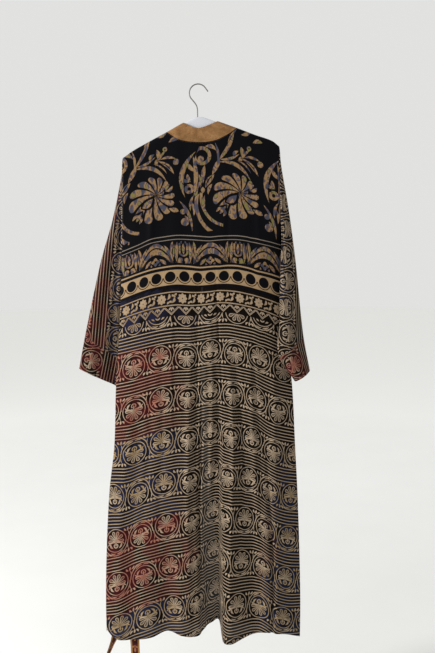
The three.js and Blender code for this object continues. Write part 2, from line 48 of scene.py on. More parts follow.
# ---- the form, as the solids have it ----
CLOTH = 2.0  # a wall's thickness
SEAM = 0.3  # the gap between walls at a seam
ARMHOLE = 250.0  # from the shoulder ridge to the underarm
OVER_BAR = {"room": 8.0, "round": 4.0}  # how far the cloth stands off over the bar, and how soon
FALL = 90.0  # the drop in which the body's own depth grows
TURN = 3.0  # the drop in which the wall turns over the ridge
SLEEVE_LENGTH = 590.0
NECK = {"left": -84.0, "right": 102.0}
BAND_INNER = {"left": -40.0, "right": 52.0}
BAND_WIDTH = 46.0
SEAM_LIP = 1.8  # how far the neck band's seam allowance reaches inside the body
FRONT_HEM = {"side": -1506.0, "middle": -1500.0}
SHOULDER = {"middle": 6.0, "half": 206.0}
# Shoulder ridge: x, z.
RIDGE = [
    (-200, -187), (-174, -169), (-128, -144), (-84, -121), (-40, -97), (0, -79.5),
    (47, -92.5), (102, -112), (149, -130), (194, -146), (212, -160),
]
# Back neckline seam and the band's upper edge behind the neck: x, z.
NECKLINE = [(-84, -121), (-56, -139), (-22, -147), (18, -148), (50, -142), (80, -127), (102, -112)]
BAND_TOP = [(-40, -97), (-22, -106), (-3, -112), (18, -108), (52, -94)]
# Body by height: z, left edge, right edge, how far the back and the front stand off the middle plane.
BODY = [
    (-80, -200, 212, 0, 0), (-190, -200, 212, 2, 2), (-430, -207, 220, 9, 7),
    (-650, -219, 232, 14, 10), (-800, -231, 249, 18, 13), (-966, -239, 258, 21, 15),
    (-1094, -255, 265, 24, 17), (-1250, -266, 271, 27, 19), (-1415, -272, 275, 30, 21),
    (-1560, -272, 274, 32, 22),
]
LEFT, RIGHT, BACK, FRONT = 1, 2, 3, 4  # the columns of that table
# Hem of the back: place across (-1 to 1), z.
BACK_HEM = [
    (-1, -1502), (-0.93, -1517), (-0.8, -1522), (-0.52, -1507), (-0.36, -1491), (-0.2, -1498),
    (-0.06, -1500), (0.03, -1486), (0.1, -1474), (0.165, -1467), (0.21, -1514), (0.28, -1519),
    (0.4, -1510), (0.6, -1494), (0.72, -1493), (0.84, -1501), (1, -1518),
]
PLEAT = {"left": -0.03, "floor": 0.06, "floor_end": 0.165, "right": 0.21, "depth": 37.0,
         "start": -620.0, "end": -1520.0}
# Folds: place across, half width, depth inwards, and the heights between which they grow.
BACK_FOLDS = [
    (-0.36, 0.13, 13, -1150, -1500), (-0.72, 0.08, 7, -640, -1050), (-0.9, 0.07, -7, -1250, -1500),
    (-0.2, 0.09, -6, -800, -1400), (0.3, 0.07, -9, -800, -1450), (0.52, 0.13, 14, -850, -1450),
    (0.74, 0.08, -9, -700, -1400),
]
FRONT_FOLDS = [
    (-0.78, 0.12, 6, -500, -1450), (-0.45, 0.12, -7, -600, -1450),
    (0.52, 0.12, -6, -600, -1450), (0.8, 0.1, 6, -700, -1450),
]
# Soft creases laid over them: place across, half width, depth, and where they begin, are deepest and
# end.
BACK_CREASES = [
    (-0.022, 0.018, 14.0, -690, -1200, -1800), (0.7, 0.02, 13.0, -860, -1300, -1800),
    (0.39, 0.028, 8.0, -640, -950, -1450), (0.3, 0.026, -7.0, -600, -1000, -1700),
    (0.55, 0.035, -6.0, -650, -1050, -1700), (-0.62, 0.035, 5.0, -640, -1000, -1400),
    (-0.15, 0.03, -6.0, -520, -1000, -1700), (-0.075, 0.02, 5.0, -480, -900, -1250),
    (0.08, 0.028, -6.5, -500, -950, -1600), (0.6, 0.022, 3.5, -560, -850, -1150),
    (0.8, 0.03, -4.5, -640, -900, -1300), (-0.84, 0.03, -3.5, -760, -1150, -1480),
    (-0.35, 0.03, -3.0, -520, -760, -1100), (-0.47, 0.03, 3.0, -560, -900, -1450),
    (0.62, 0.03, -4.0, -1000, -1300, -1700), (0.19, 0.016, 3.0, -420, -700, -1000),
    (-0.12, 0.03, 1.6, -190, -300, -430), (0.34, 0.03, 1.6, -190, -320, -470),
    (-0.62, 0.035, -1.8, -230, -360, -520), (0.7, 0.035, -1.6, -220, -350, -520),
    (-0.93, 0.02, 3.0, -900, -1300, -1700),
]
FRONT_CREASES = [
    (-0.62, 0.03, 2.2, -420, -760, -1250), (-0.3, 0.03, -2, -500, -900, -1400),
    (0.4, 0.03, 2, -420, -800, -1300), (0.66, 0.03, -2.2, -520, -900, -1400),
    (-0.88, 0.03, -1.8, -640, -1000, -1400), (0.9, 0.03, 1.8, -600, -1000, -1400),
]
# Inner edges of the front bands: z, left, right.
FRONT_EDGE = [
    (-90, -40, 52), (-200, -27, 39), (-330, -12, 23), (-470, 1, 10), (-700, 1, 11),
    (-1100, -3, 28), (-1560, -9, 62),
]
# The solids' rows below the shoulder. The scene's rows lie between them.
UPPER_ROWS = [0, 1, 4.5, 13, 30, 55, 90, 130, 170, 210, ARMHOLE]
# Sleeves: share of the length, outer edge x, y, z, underarm edge x, y, z, half thickness.
SLEEVES = {
    "left": [
        (0, -201.5, 0, -187, -208.5, 0.5, -438, 10), (0.1, -205, 0, -231, -211.5, 8, -468, 12),
        (0.3, -232, 1, -350, -209, 15, -540, 14), (0.5, -266, 3, -460, -209, 21, -618, 13),
        (0.8, -312, 8, -650, -209, 29, -735, 12), (1, -334, 12, -753, -208, 34, -818, 13),
    ],
    "right": [
        (0, 213.5, 0, -160, 221.3, -0.5, -411, 10), (0.1, 218, 0, -209, 218.5, -9, -448, 12),
        (0.3, 239, 0, -330, 214, -17, -535, 15), (0.5, 257, 0, -460, 213, -29, -620, 16),
        (0.8, 278, -4, -655, 210, -41, -709, 18), (1, 296, -12, -755, 254, -24, -782, 30),
    ],
}
SLEEVE_LIE = 0.75  # share of a crossing by which it lies at its underarm edge's depth
CUFF_FROM = 0.82  # share of the sleeve's length where the cuff is sewn on
SLEEVE_FORM = {"oval_by": 0.3, "leaves_by": 0.02, "closes": 40, "roundness": 0.4}
# Belt: x, z, half width, lift off the front, turn towards edge-on in degrees.
BELT = [
    (-300, -1642, 12, 14, 64), (-266, -1568, 12, 16, 58), (-246, -1500, 13, 16, 30),
    (-226, -1300, 15, 10, 0), (-204, -1050, 15, 8, 0), (-188, -850, 14, 7, 0), (-184, -720, 11, 6, 0),
    (-183, -672, 7, 5, 0), (-178, -642.6, 5, 5, 0), (-165, -631, 5, 5, 0), (-152, -642.6, 5, 5, 0),
    (-148, -672, 7, 5, 0), (-150, -720, 11, 6, 0), (-154, -850, 14, 7, 0), (-166, -1050, 15, 8, 0),
    (-184, -1300, 15, 9, 0), (-196, -1500, 14, 12, 0), (-197, -1580, 13, 14, 0), (-194, -1666, 14, 14, 0),
]
BELT_GATHER = {"half": 5.0, "thick": 6.0}
BELT_WIDTH = 30.0
BELT_THICK = 1.5
LOOP = {"z": -622.0, "height": 56.0, "width": 5.0, "thick": 1.6}
LOOPS = {"loop_left": (-165.0, 10.5), "loop_right": (176.0, 9.0)}  # x and how far the middle stands off
HANGER_TIPS = {"left": -191.0, "right": 200.0}
HANGER_DEPTH = {"middle": 44.0, "tip": 15.0}
HANGER_HALF = 4.6
HANGER_TIP_ROUND = 6.0
HANGER_BULGE = 0.45  # how square the bar's section is, from 1, round, down
HANGER_UNDER = CLOTH + 1.4
HOOK_WIRE = 1.6
HOOK_BEND = 23.0
HOOK_ARC = {"from": 36, "to": 216, "step": 15}
HOOK_TIP = [13, 6.5]
HOOK_STEM = [(-10.5, -44.5), (-4.8, -53), (-2.4, -62), (-2, -71)]

# ---- the print's places on the cloth ----
# The rows of the print hang lower towards the sides. By row (its distance below the hook at the middle):
# the drop at the places across named in BOW_AT.
BOW_AT = [
    -1, -0.79, -0.63, -0.47, -0.31, -0.15, -0.02, 0.1, 0.165, 0.215,
    0.32, 0.44, 0.56, 0.62, 0.68, 0.74, 0.86, 1,
]
BOW = [
    (150, 24, 18, 12, 8, 4, 1, 0, 0, 0, 0, 1, 3, 6, 8, 11, 13, 18, 24),
    (290, 24, 18, 12, 8, 4, 1, 0, 0, 0, 0, 1, 3, 6, 8, 11, 13, 18, 24),
    (391, 42, 24, 9, 3, -1, 0, 2, 4, 3, 2, 1, 1, 4, 7, 9, 12, 18, 27),
    (475, 36, 19, 8, 1, -3, -1, 2, 0, -1, -1, -3, -2, 3, 7, 12, 15, 22, 33),
    (545, 42, 23, 11, 4, 0, 2, 2, 0, -2, -3, -2, 1, 7, 10, 14, 18, 28, 42),
    (640, 50, 37, 28, 20, 15, 15, 11, 6, 4, 3, 3, 8, 14, 18, 24, 28, 41, 58),
    (751, 60, 47, 35, 24, 18, 15, 8, 2, 1, 2, 5, 11, 18, 25, 33, 40, 53, 63),
    (862, 69, 57, 41, 29, 21, 17, 6, 1, 1, 4, 10, 14, 23, 33, 45, 53, 64, 74),
    (973, 75, 67, 49, 36, 26, 22, 10, 1, 2, 10, 17, 19, 27, 36, 46, 55, 69, 78),
    (1085, 96, 83, 62, 45, 34, 28, 17, 4, 2, 11, 15, 22, 30, 41, 53, 62, 78, 88),
    (1196, 117, 92, 70, 57, 45, 34, 17, 7, 5, 25, 29, 33, 37, 44, 55, 68, 86, 96),
    (1307, 131, 106, 79, 63, 53, 44, 24, 13, 8, 34, 40, 41, 43, 48, 59, 76, 94, 102),
    (1418, 137, 115, 93, 75, 62, 50, 35, 20, 12, 52, 57, 56, 53, 56, 66, 82, 98, 104),
    (1560, 142, 120, 97, 79, 65, 53, 38, 22, 14, 54, 59, 58, 55, 58, 68, 84, 100, 106),
]
# The print's columns draw together where the cloth lies in folds. By row: the place along the row, from the
# middle column, at the places across named in COLUMNS_AT.
COLUMNS_AT = [-1, -0.8, -0.6, -0.4, -0.2, -0.02, 0.08, 0.165, 0.21, 0.3, 0.45, 0.6, 0.8, 1]
COLUMNS = [
    (240, -230, -189, -147, -106, -65, -28, -7, 10, 20, 38, 69, 100, 141, 182),
    (391, -233, -192, -149, -107, -66, -28, -7, 11, 20, 39, 71, 103, 145, 187),
    (597, -257, -206, -155, -112, -72, -29, -4, 14, 24, 44, 76, 111, 158, 205),
    (695, -255, -209, -164, -118, -73, -27, -2, 18, 29, 51, 88, 126, 177, 230),
    (807, -259, -213, -168, -122, -76, -26, 2, 25, 37, 62, 103, 144, 201, 258),
    (918, -263, -217, -171, -124, -77, -25, 5, 28, 45, 72, 117, 161, 222, 283),
    (1029, -299, -241, -186, -136, -87, -33, 0, 25, 55, 83, 130, 176, 240, 303),
    (1140, -307, -253, -199, -147, -96, -43, -9, 22, 68, 97, 143, 194, 255, 315),
    (1251, -310, -260, -210, -159, -104, -48, -12, 20, 77, 108, 156, 204, 266, 329),
    (1362, -316, -269, -221, -172, -117, -57, -18, 16, 94, 125, 172, 218, 275, 332),
    (1560, -322, -275, -227, -177, -121, -60, -20, 16, 98, 130, 178, 224, 281, 338),
]


# ---- helpers ----
def ramp(t):
    t = np.clip(t, 0, 1)
    return t * t * (3 - 2 * t)


def lerp(a, b, t):
    return a + (b - a) * t


def along(table, at, column=1, by=0):
    """One column of a table at places along another, on a smooth curve through its rows."""
    rows = np.array(table, float)
    keys, values = rows[:, by], rows[:, column]
    if keys[1] < keys[0]:
        keys, values = keys[::-1], values[::-1]
    at = np.asarray(at, float)
    i = np.clip(np.searchsorted(keys, at, side="left") - 1, 0, len(keys) - 2)
    slope = np.empty(len(keys))
    slope[1:-1] = (values[2:] - values[:-2]) / (keys[2:] - keys[:-2])
    slope[0] = (values[1] - values[0]) / (keys[1] - keys[0])
    slope[-1] = (values[-1] - values[-2]) / (keys[-1] - keys[-2])
    step = keys[i + 1] - keys[i]
    s = np.clip((at - keys[i]) / step, 0, 1)
    s2, s3 = s * s, s * s * s
    return (
        (2 * s3 - 3 * s2 + 1) * values[i]
        + (s3 - 2 * s2 + s) * step * slope[i]
        + (3 * s2 - 2 * s3) * values[i + 1]
        + (s3 - s2) * step * slope[i + 1]
    )


def spread(*stretches):
    """Even steps through several stretches, each (from, to, steps)."""
    return np.concatenate([[stretches[0][0]]] + [np.linspace(a, b, n + 1)[1:] for a, b, n in stretches])


# ---- the body's surface ----
def side_at(z, side):
    return along(BODY, np.minimum(-190, z), LEFT if side == "left" else RIGHT)


def across_at(x, z):
    left, right = side_at(z, "left"), side_at(z, "right")
    return 2 * (x - left) / (right - left) - 1


def folds_at(folds, u, z):
    total = 0
    for place, width, depth, start, end in folds:
        total = total + depth * ramp((start - z) / (start - end)) * np.exp(-(((u - place) / width) ** 2))
    return total


def creases_at(creases, u, z):
    total = 0
    for place, width, depth, start, deepest, end in creases:
        strength = ramp((start - z) / (start - deepest)) * ramp((z - end) / (deepest - end))
        drift = 0.02 * np.sin(z / 140 + 7 * place)
        total = total + depth * strength * np.exp(-(((u - place - drift) / width) ** 2))
    return total


def pleat_at(u, z):
    grown = np.clip((PLEAT["start"] - z) / (PLEAT["start"] - PLEAT["end"]), 0, 1)
    into = ramp((u - PLEAT["left"]) / (PLEAT["floor"] - PLEAT["left"]))
    out = ramp((u - PLEAT["floor_end"]) / (PLEAT["right"] - PLEAT["floor_end"]))
    return PLEAT["depth"] * grown**1.5 * into * (1 - out)


def ripples_at(x, z):
    """Small silky unevenness, in long upright waves."""
    return (
        0.5 * np.sin(x / 9.5 + 2.1 * np.sin(z / 170) + 0.4)
        + 0.4 * np.sin(x / 17 - z / 210 + 1.3 * np.sin(z / 90 + x / 60))
        + 0.25 * np.sin(z / 31 + 2.0 * np.sin(x / 43)) * np.sin(x / 37 + 1.1)
    )


def stand_off(x, z, side, fine=True):
    """How far the cloth's outer face stands from the middle plane."""
    below = np.maximum(0, along(RIDGE, x) - z)
    u = np.clip(across_at(x, z), -1, 1)
    tip = np.where(u < 0, RIDGE[0][1], RIDGE[-1][1])
    down_arm = np.clip((tip - z) / ARMHOLE, 0, 1)
    envelope = 1 - (1 - np.sqrt(1 - down_arm**2)) * np.abs(u) ** 4
    over_bar = OVER_BAR["room"] * np.sqrt(below / (below + OVER_BAR["round"]))
    hang = along(BODY, z, BACK if side == "back" else FRONT) * (1 - np.exp(-below / FALL))
    folds = folds_at(BACK_FOLDS if side == "back" else FRONT_FOLDS, u, z)
    if side == "back":
        folds = folds + pleat_at(u, z)
    if fine:
        folds = folds + creases_at(BACK_CREASES if side == "back" else FRONT_CREASES, u, z)
        folds = folds + ripples_at(x, z) * ramp(below / 60)
    return CLOTH * (1 - np.exp(-below / TURN)) + (over_bar + hang) * envelope - folds * (1 - np.abs(u) ** 10)


def on_cloth(x, z, side, lift=0.0, fine=True):
    """Points on the outer face, or lifted off it."""
    sign = -1 if side == "back" else 1
    y = sign * (SEAM / 2 + stand_off(x, z, side, fine) + lift)
    return np.stack(np.broadcast_arrays(x, y, z), axis=-1)


def rows_down(top, hem, places):
    """Heights of rows below a top edge. Places 0 to 1 run down to the underarm and 1 to 2 on to the hem."""
    drop = along([(i / (len(UPPER_ROWS) - 1), d) for i, d in enumerate(UPPER_ROWS)], np.minimum(places, 1))
    top, hem = np.asarray(top)[None, :], np.asarray(hem)[None, :]
    lower = np.maximum(places - 1, 0)[:, None]
    return (top - drop[:, None]) * (1 - lower) + hem * lower


ROW_PLACES = spread((0, 0.3, 12), (0.3, 1, 34), (1, 2, 200))


# ---- meshes from grids ----
WELD_GAP = 0.02
HEM = {"depth": 11.0, "thick": 1.1}
ROLL = {"out": 0.6, "end": 0.15, "in": 0.55, "step": 1.5}  # how a side edge rolls in to its seam


def unit(v):
    return v / np.linalg.norm(v, axis=-1, keepdims=True)


def link(name, data):
    thing = bpy.data.objects.new(name, data)
    bpy.context.scene.collection.objects.link(thing)
    return thing


def carry(name, mesh):
    """An object that rides on the robe's one body."""
    piece = link(name, mesh)
    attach(piece, "root")
    return piece


def table_uv(first, second, shape):
    """Two runs of numbers as places on the cut cloth, one pair for each point of a grid."""
    return np.stack([np.broadcast_to(first, shape), np.broadcast_to(second, shape)], -1)


def corners(grid):
    """The four corners of each cell of a grid, in face order."""
    return np.stack([grid[:-1, :-1], grid[1:, :-1], grid[1:, 1:], grid[:-1, 1:]], axis=2)


def round_grid(points, uv, flip=False):
    return {"points": points, "uv": uv, "round": True, "flip": flip}


def make_piece(name, node, grids, materials, pick=None):
    """One object from grids, each {points, uv, round, flip}, that stands for a node of the frame. Points are
    millimetres and uv is on the cut cloth. A round grid's last column repeats its first. pick gives each
    face's material from its mean uv."""
    points, faces, face_uv = [], [], []
    count = 0
    for grid in grids:
        p = grid["points"]
        if grid.get("round"):
            p = p[:, :-1]
        rows, columns = p.shape[:2]
        number = np.arange(rows * columns).reshape(rows, columns) + count
        if grid.get("round"):
            number = np.concatenate([number, number[:, :1]], axis=1)
        quads = corners(number).reshape(-1, 4)
        cell_uv = corners(grid["uv"]).reshape(-1, 4, 2)
        if grid.get("flip"):
            quads, cell_uv = quads[:, ::-1], cell_uv[:, ::-1]
        points.append(p.reshape(-1, 3))
        faces.append(quads)
        face_uv.append(cell_uv)
        count += rows * columns
    points = np.concatenate(points) * MM
    faces, face_uv = np.concatenate(faces), np.concatenate(face_uv) * MM
    mesh = bpy.data.meshes.new(name)
    mesh.from_pydata(points.tolist(), [], faces.tolist())
    layer = mesh.uv_layers.new(name="Cut")
    layer.data.foreach_set("uv", face_uv.astype(np.float32).ravel())
    mesh.polygons.foreach_set("use_smooth", np.ones(len(faces), bool))
    for material in materials:
        mesh.materials.append(material)
    if pick is not None:
        mesh.polygons.foreach_set("material_index", pick(face_uv.mean(axis=1)).astype(np.int32))
    mesh.validate()
    piece = carry(name, mesh)
    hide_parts(node)
    return piece


def weld(piece):
    """Joins the points of neighbouring grids that lie together."""
    bm = bmesh.new()
    bm.from_mesh(piece.data)
    bmesh.ops.remove_doubles(bm, verts=bm.verts, dist=WELD_GAP * MM)
    bm.to_mesh(piece.data)
    bm.free()


def arc_length(points, axis=1):
    """Running length along an axis of a grid of points."""
    steps = np.linalg.norm(np.diff(points, axis=axis), axis=-1)
    zero = np.zeros_like(np.take(steps, [0], axis=axis))
    return np.concatenate([zero, np.cumsum(steps, axis=axis)], axis=axis)


def by_row(table, at, u, row):
    """A table's number at places across and rows of the print."""
    rows = np.array(table, float)
    numbers = np.stack([along(list(zip(at, numbers)), u) for numbers in rows[:, 1:]])
    i = np.clip(np.searchsorted(rows[:, 0], row) - 1, 0, len(rows) - 2)
    share = np.clip((row - rows[i, 0]) / (rows[i + 1, 0] - rows[i, 0]), 0, 1)
    low = np.take_along_axis(numbers, i[None], axis=0)[0]
    high = np.take_along_axis(numbers, (i + 1)[None], axis=0)[0]
    return lerp(low, high, share)


def print_row(u, z):
    """Which row of the print lies at a place across and a height."""
    row = -np.asarray(z, float)
    for _ in range(12):
        row = -z - by_row(BOW, BOW_AT, u, row)
    return row


def print_column(u, row):
    return by_row(COLUMNS, COLUMNS_AT, u, row)


def turn_hem(points, uv):
    """Turns the last row under: three more rows that go round the fold and up inside the cloth."""
    depth, thick = HEM["depth"], HEM["thick"]
    inward = np.array([0, -np.sign(points[-1, :, 1].mean()), 0])
    last, last_uv = points[-1], uv[-1]
    added = [
        last + [0, 0, -0.35 * thick] + inward * 0.35 * thick,
        last + inward * thick,
        last + [0, 0, depth] + inward * thick,
    ]
    lengths = [0.4 * thick, thick, thick + depth]
    added_uv = [last_uv + [0, length] for length in lengths]
    return np.concatenate([points, np.stack(added)]), np.concatenate([uv, np.stack(added_uv)])


def turn_sides(points, uv, sides=("first", "last")):
    """Rolls the side edges in to the seam line at the middle plane."""
    for side in sides:
        edge = points[:, :1] if side == "first" else points[:, -1:]
        edge_uv = uv[:, :1] if side == "first" else uv[:, -1:]
        near = points[:, 1:2] if side == "first" else points[:, -2:-1]
        way = np.sign((edge - near)[..., :1])
        seam_y = np.sign(edge[..., 1:2]) * SEAM / 2
        part_y = lerp(edge[..., 1:2], seam_y, ROLL["in"])
        middle = np.concatenate([edge[..., :1] + way * ROLL["out"], part_y, edge[..., 2:]], -1)
        end = np.concatenate([edge[..., :1] + way * ROLL["end"], seam_y, edge[..., 2:]], -1)
        step = ROLL["step"] if side == "last" else -ROLL["step"]
        more_uv = [edge_uv + [step, 0], edge_uv + [2 * step, 0]]
        if side == "first":
            points = np.concatenate([end, middle, points], axis=1)
            uv = np.concatenate([more_uv[1], more_uv[0], uv], axis=1)
        else:
            points = np.concatenate([points, middle, end], axis=1)
            uv = np.concatenate([uv, more_uv[0], more_uv[1]], axis=1)
    return points, uv


# ---- numbers in materials ----
class Value:
    """A number in a material, or three side by side. Arithmetic on it adds Math or Vector Math nodes."""

    def __init__(self, tree, socket, three=False):
        self.tree, self.socket, self.three = tree, socket, three

    def reckon(self, name, *terms, clamp=False):
        terms = (self, *terms)
        three = any(isinstance(t, tuple) or getattr(t, "three", False) for t in terms)
        node = self.tree.nodes.new("ShaderNodeVectorMath" if three else "ShaderNodeMath")
        node.operation = name
        if clamp:
            node.use_clamp = True
        for socket, term in zip(node.inputs, terms):
            if isinstance(term, Value):
                self.tree.links.new(term.socket, socket)
            else:
                socket.default_value = (term,) * 3 if three and not isinstance(term, tuple) else term
        return Value(self.tree, node.outputs[0], three)

    def __add__(self, other):
        return self.reckon("ADD", other)

    def __sub__(self, other):
        return self.reckon("SUBTRACT", other)

    def __rsub__(self, other):
        return self.reckon("MULTIPLY_ADD", -1.0, other)

    def __mul__(self, other):
        return self.reckon("MULTIPLY", other)

    def __abs__(self):
        return self.reckon("ABSOLUTE")

    __radd__, __rmul__ = __add__, __mul__

    def times_plus(self, factor, more):
        return self.reckon("MULTIPLY_ADD", factor, more)

    def least(self, other):
        return self.reckon("MINIMUM", other)

    def most(self, other):
        return self.reckon("MAXIMUM", other)

    def fold(self, half):
        """Distance to the nearest multiple of twice half."""
        return self.reckon("PINGPONG", half)

    def cell(self, size, start=0.0):
        """Distance from the start of each repeat of a size, the first of them at start."""
        return (self - start if start else self).reckon("FLOORED_MODULO", size)

    def sign_of_cell(self, size):
        """-1 in the first half of each repeat of a size and 1 in the second."""
        return (self * (1.0 / size)).reckon("FRACT").reckon("GREATER_THAN", 0.5).times_plus(2.0, -1.0)

    def ink(self, soft):
        """1 inside a shape and 0 outside, from the depth inside it."""
        return self.reckon("MULTIPLY_ADD", 1 / soft, 0.5, clamp=True)

    def clamped(self):
        return self.reckon("ADD", 0.0, clamp=True)


def distance(x, y):
    return x.times_plus(x, y * y).reckon("SQRT")


def most_of(value):
    """The largest of three numbers that stand side by side."""
    node = value.tree.nodes.new("ShaderNodeSeparateXYZ")
    value.tree.links.new(value.socket, node.inputs[0])
    a, b, c = (Value(value.tree, s) for s in node.outputs)
    return a.most(b).most(c)


def threes(rows):
    """A table's rows three at a time, as a triple for each column. A short last three repeats its rows."""
    for i in range(0, len(rows), 3):
        three = (list(rows[i : i + 3]) * 3)[:3]
        yield [tuple(float(n) for n in column) for column in zip(*three)]


def leaves(x, y, rows):
    """Depth inside bent leaves. A row: x, y, turn in degrees, length, half width, bend, lean."""
    found = []
    for cx, cy, turn, length, wide, bend, lean in threes(rows):
        half = [n / 2 for n in length]
        c = [math.cos(math.radians(a)) for a in turn]
        s = [math.sin(math.radians(a)) for a in turn]
        dx, dy = x - cx, y - cy
        a = dx.times_plus(tuple(n / h for n, h in zip(c, half)), dy * tuple(n / h for n, h in zip(s, half)))
        b = dy.times_plus(tuple(c), dx * tuple(-n for n in s))
        a2 = a * a
        off = abs(a2.times_plus(bend, b))
        room = a2.times_plus(tuple(-n for n in wide), wide)
        if any(lean):
            room = room * a.times_plus(lean, 1.0).most(0.1)
        found.append(most_of(room - off))
    return reduce(Value.most, found)


def layered(x, y, rows, gap):
    """Leaves where each three lie behind the ones before, with a bare edge between."""
    found = leaves(x, y, rows[:3])
    for i in range(3, len(rows), 3):
        found = found.most(leaves(x, y, rows[i : i + 3]).least(found * -1.0 - gap))
    return found


def rings(x, y, rows):
    """Depth inside thin rings. A row: x, y, radius, half width."""
    found = []
    for cx, cy, radius, half in threes(rows):
        dx, dy = x - cx, y - cy
        square = dx.times_plus(dx, dy * dy)
        off = abs(square.times_plus(tuple(0.5 / r for r in radius), tuple(-0.5 * r for r in radius)))
        found.append(most_of(off.times_plus(-1.0, half)))
    return reduce(Value.most, found)


def circle(x, y, radius, half):
    """Depth inside a line round a circle."""
    return half - abs(distance(x, y) - radius)


def drops(x, y, count, middle, radius):
    """Depth inside drop-shaped petals round a middle, each a disc drawn in to a point at the middle."""
    reach = distance(x, y)
    side = x.reckon("ARCTAN2", y).fold(math.pi / count) * reach
    disc = distance(side, reach - middle) * -1.0 + radius
    wedge = (reach * (radius / middle) - side).least(middle - reach)
    return disc.most(wedge)


def petals(x, y, count, inner, outer, wide):
    """Depth inside petals round a middle."""
    reach = distance(x, y)
    side = x.reckon("ARCTAN2", y).fold(math.pi / count) * reach
    span = (outer - inner) / 2
    room = reach - (inner + outer) / 2
    room = (room * room).times_plus(-wide / span**2, wide)
    return room - side


# ---- the printed patterns, in millimetres on the cut cloth ----
STRIPE = {"pitch": 8.3, "half": 1.04, "count": 5}
INK_EDGE = {"field": 0.8, "fine": 0.9}  # how softly the ink ends
RING = {"radius": 29.0, "half": 0.9, "drop": 5.0}
VINE = {"radius": 34.0, "half": 1.1, "below": 0.5}
FLOWER = {"petals": 9, "middle": 18.6, "radius": 4.5, "lift": 1.0, "top": 6.0, "outline": 0.85, "fill": 1.9}
BUD = {"up": 13.0, "room": 7.6, "radius": 5.4, "half": 1.3, "foot": 9.0}
# Leaves in all these tables: x, y up, turn in degrees, length, half width, bend, lean.
BUD_STEM = [(0, 9.5, 90, 12, 1.7, 0, 0)]
FLOWER_CURLS = [
    (12.5, 5.0, 6, 18, 1.9, 3.0, 0.3), (15.0, 14.0, 118, 17, 2.4, -3.5, 0.0),
    (19.5, 8.0, 60, 11, 1.6, 2.0, 0.0),
]
VINE_FEATHER = [
    (-12, 27.0, 26, 20, 1.8, 2.5, 0.3), (8, 29.0, -8, 16, 1.3, 2.5, 0.0),
    (27, 28.5, -4, 15, 1.2, -2.0, 0.0),
]
EDGE_SPRIG = [
    (-18.5, 30.0, 160, 10, 2.0, 1.0, 0.3), (-9.0, 28.5, 140, 11, 2.3, 1.5, 0.3),
    (-0.5, 28.5, 98, 11, 2.3, 0, 0.3), (7.5, 28.0, 50, 10, 2.2, -1.5, 0.3),
    (-2.5, 18.0, 84, 11, 1.1, 1.0, 0),
]
ROW_PITCH = 111.1  # from one group of stripes to the next
FIRST_STRIPES = 622.0  # top of the first group
ROUNDEL_PITCH = 70.0
GROUP = STRIPE["pitch"] * STRIPE["count"]
ROUNDEL_MIDDLE = (GROUP + ROW_PITCH) / 2  # below the top of a group
BORDER_TOP = 380.0  # rows where one pattern ends and the next begins, all on plain black
FIELD_TOP = 530.0


def field_print(across, row):
    """Stripes, then a running vine with a ring and a flower in each bend. Gives the ink and the paler fill."""
    down = row.cell(ROW_PITCH, FIRST_STRIPES)
    line = down.fold(STRIPE["pitch"] / 2) + (STRIPE["half"] - STRIPE["pitch"] / 2)
    stripes = line.least(GROUP - down).ink(INK_EDGE["fine"])

    turned = (across + ROUNDEL_PITCH / 2).sign_of_cell(2 * ROUNDEL_PITCH)
    up = ROUNDEL_MIDDLE - down
    x = ((across + ROUNDEL_PITCH / 2).cell(ROUNDEL_PITCH) - ROUNDEL_PITCH / 2) * turned
    rise = up * turned
    above_vine = rise + VINE["below"]
    vine = circle(x, above_vine, VINE["radius"], VINE["half"]).least(above_vine)
    y = rise + RING["drop"]
    ring = circle(x, y, RING["radius"], RING["half"])
    side = abs(x)
    bud_reach = distance(side, y - BUD["up"])
    flower = drops(x, y + FLOWER["lift"], FLOWER["petals"], FLOWER["middle"], FLOWER["radius"])
    flower = flower.least(FLOWER["top"] - y).least(bud_reach - BUD["room"])
    outline = FLOWER["outline"] - abs(flower - FLOWER["outline"])
    bud = (BUD["half"] - abs(bud_reach - BUD["radius"])).least(y - BUD["foot"])
    bud = bud.most(leaves(side, y, BUD_STEM))
    inside = bud.most(leaves(side, y, FLOWER_CURLS)).most(outline)

    edge_x = (across.cell(ROUNDEL_PITCH) - ROUNDEL_PITCH / 2) * across.sign_of_cell(2 * ROUNDEL_PITCH)
    sprig = leaves(edge_x * up.reckon("SIGN"), abs(up), EDGE_SPRIG)
    shapes = ring.most(vine).most(inside).most(leaves(x, rise, VINE_FEATHER)).most(sprig)
    band = (down - GROUP + 0.5).least(ROW_PITCH + 0.5 - down)
    ink = stripes.most(shapes.least(band).ink(INK_EDGE["field"]))
    fill = (flower - FLOWER["fill"]).ink(INK_EDGE["field"])
    return ink, fill


BAND_LINES = {"rows": (541.0, 572.0), "half": 1.3}
DAISY = {"row": 556.5, "pitch": 52.0, "petals": 8, "inner": 1.2, "outer": 12.4, "half": 4.2, "room": 13.0}
DAISY_CURLS = [
    (20, 4, 70, 15, 3.0, -3, 0.3), (-20, -4, 70, 15, 3.0, -3, -0.3), (24, -7, -8, 18, 2.4, 4, 0),
    (-24, 7, -8, 18, 2.4, 4, 0), (16.5, -9, 40, 8, 2.4, 1, 0), (-16.5, 9, 40, 8, 2.4, -1, 0),
]
# The zigzag: half a tooth's width, its slope, its peaks' row, its two lines and the rows it lies between.
ZIGZAG = {"tooth": 17.5, "steep": 0.95, "peak": 577.0, "half": 1.1, "second": 3.2, "second_half": 0.8,
          "second_top": 575.5, "fan_gap": 5.0, "top": 574.5, "end": 595.0}
TOOTH_FAN = [(0, -4, 90, 9, 1.8, 0, 0), (4, -2.5, -50, 9, 1.6, 0, 0)]


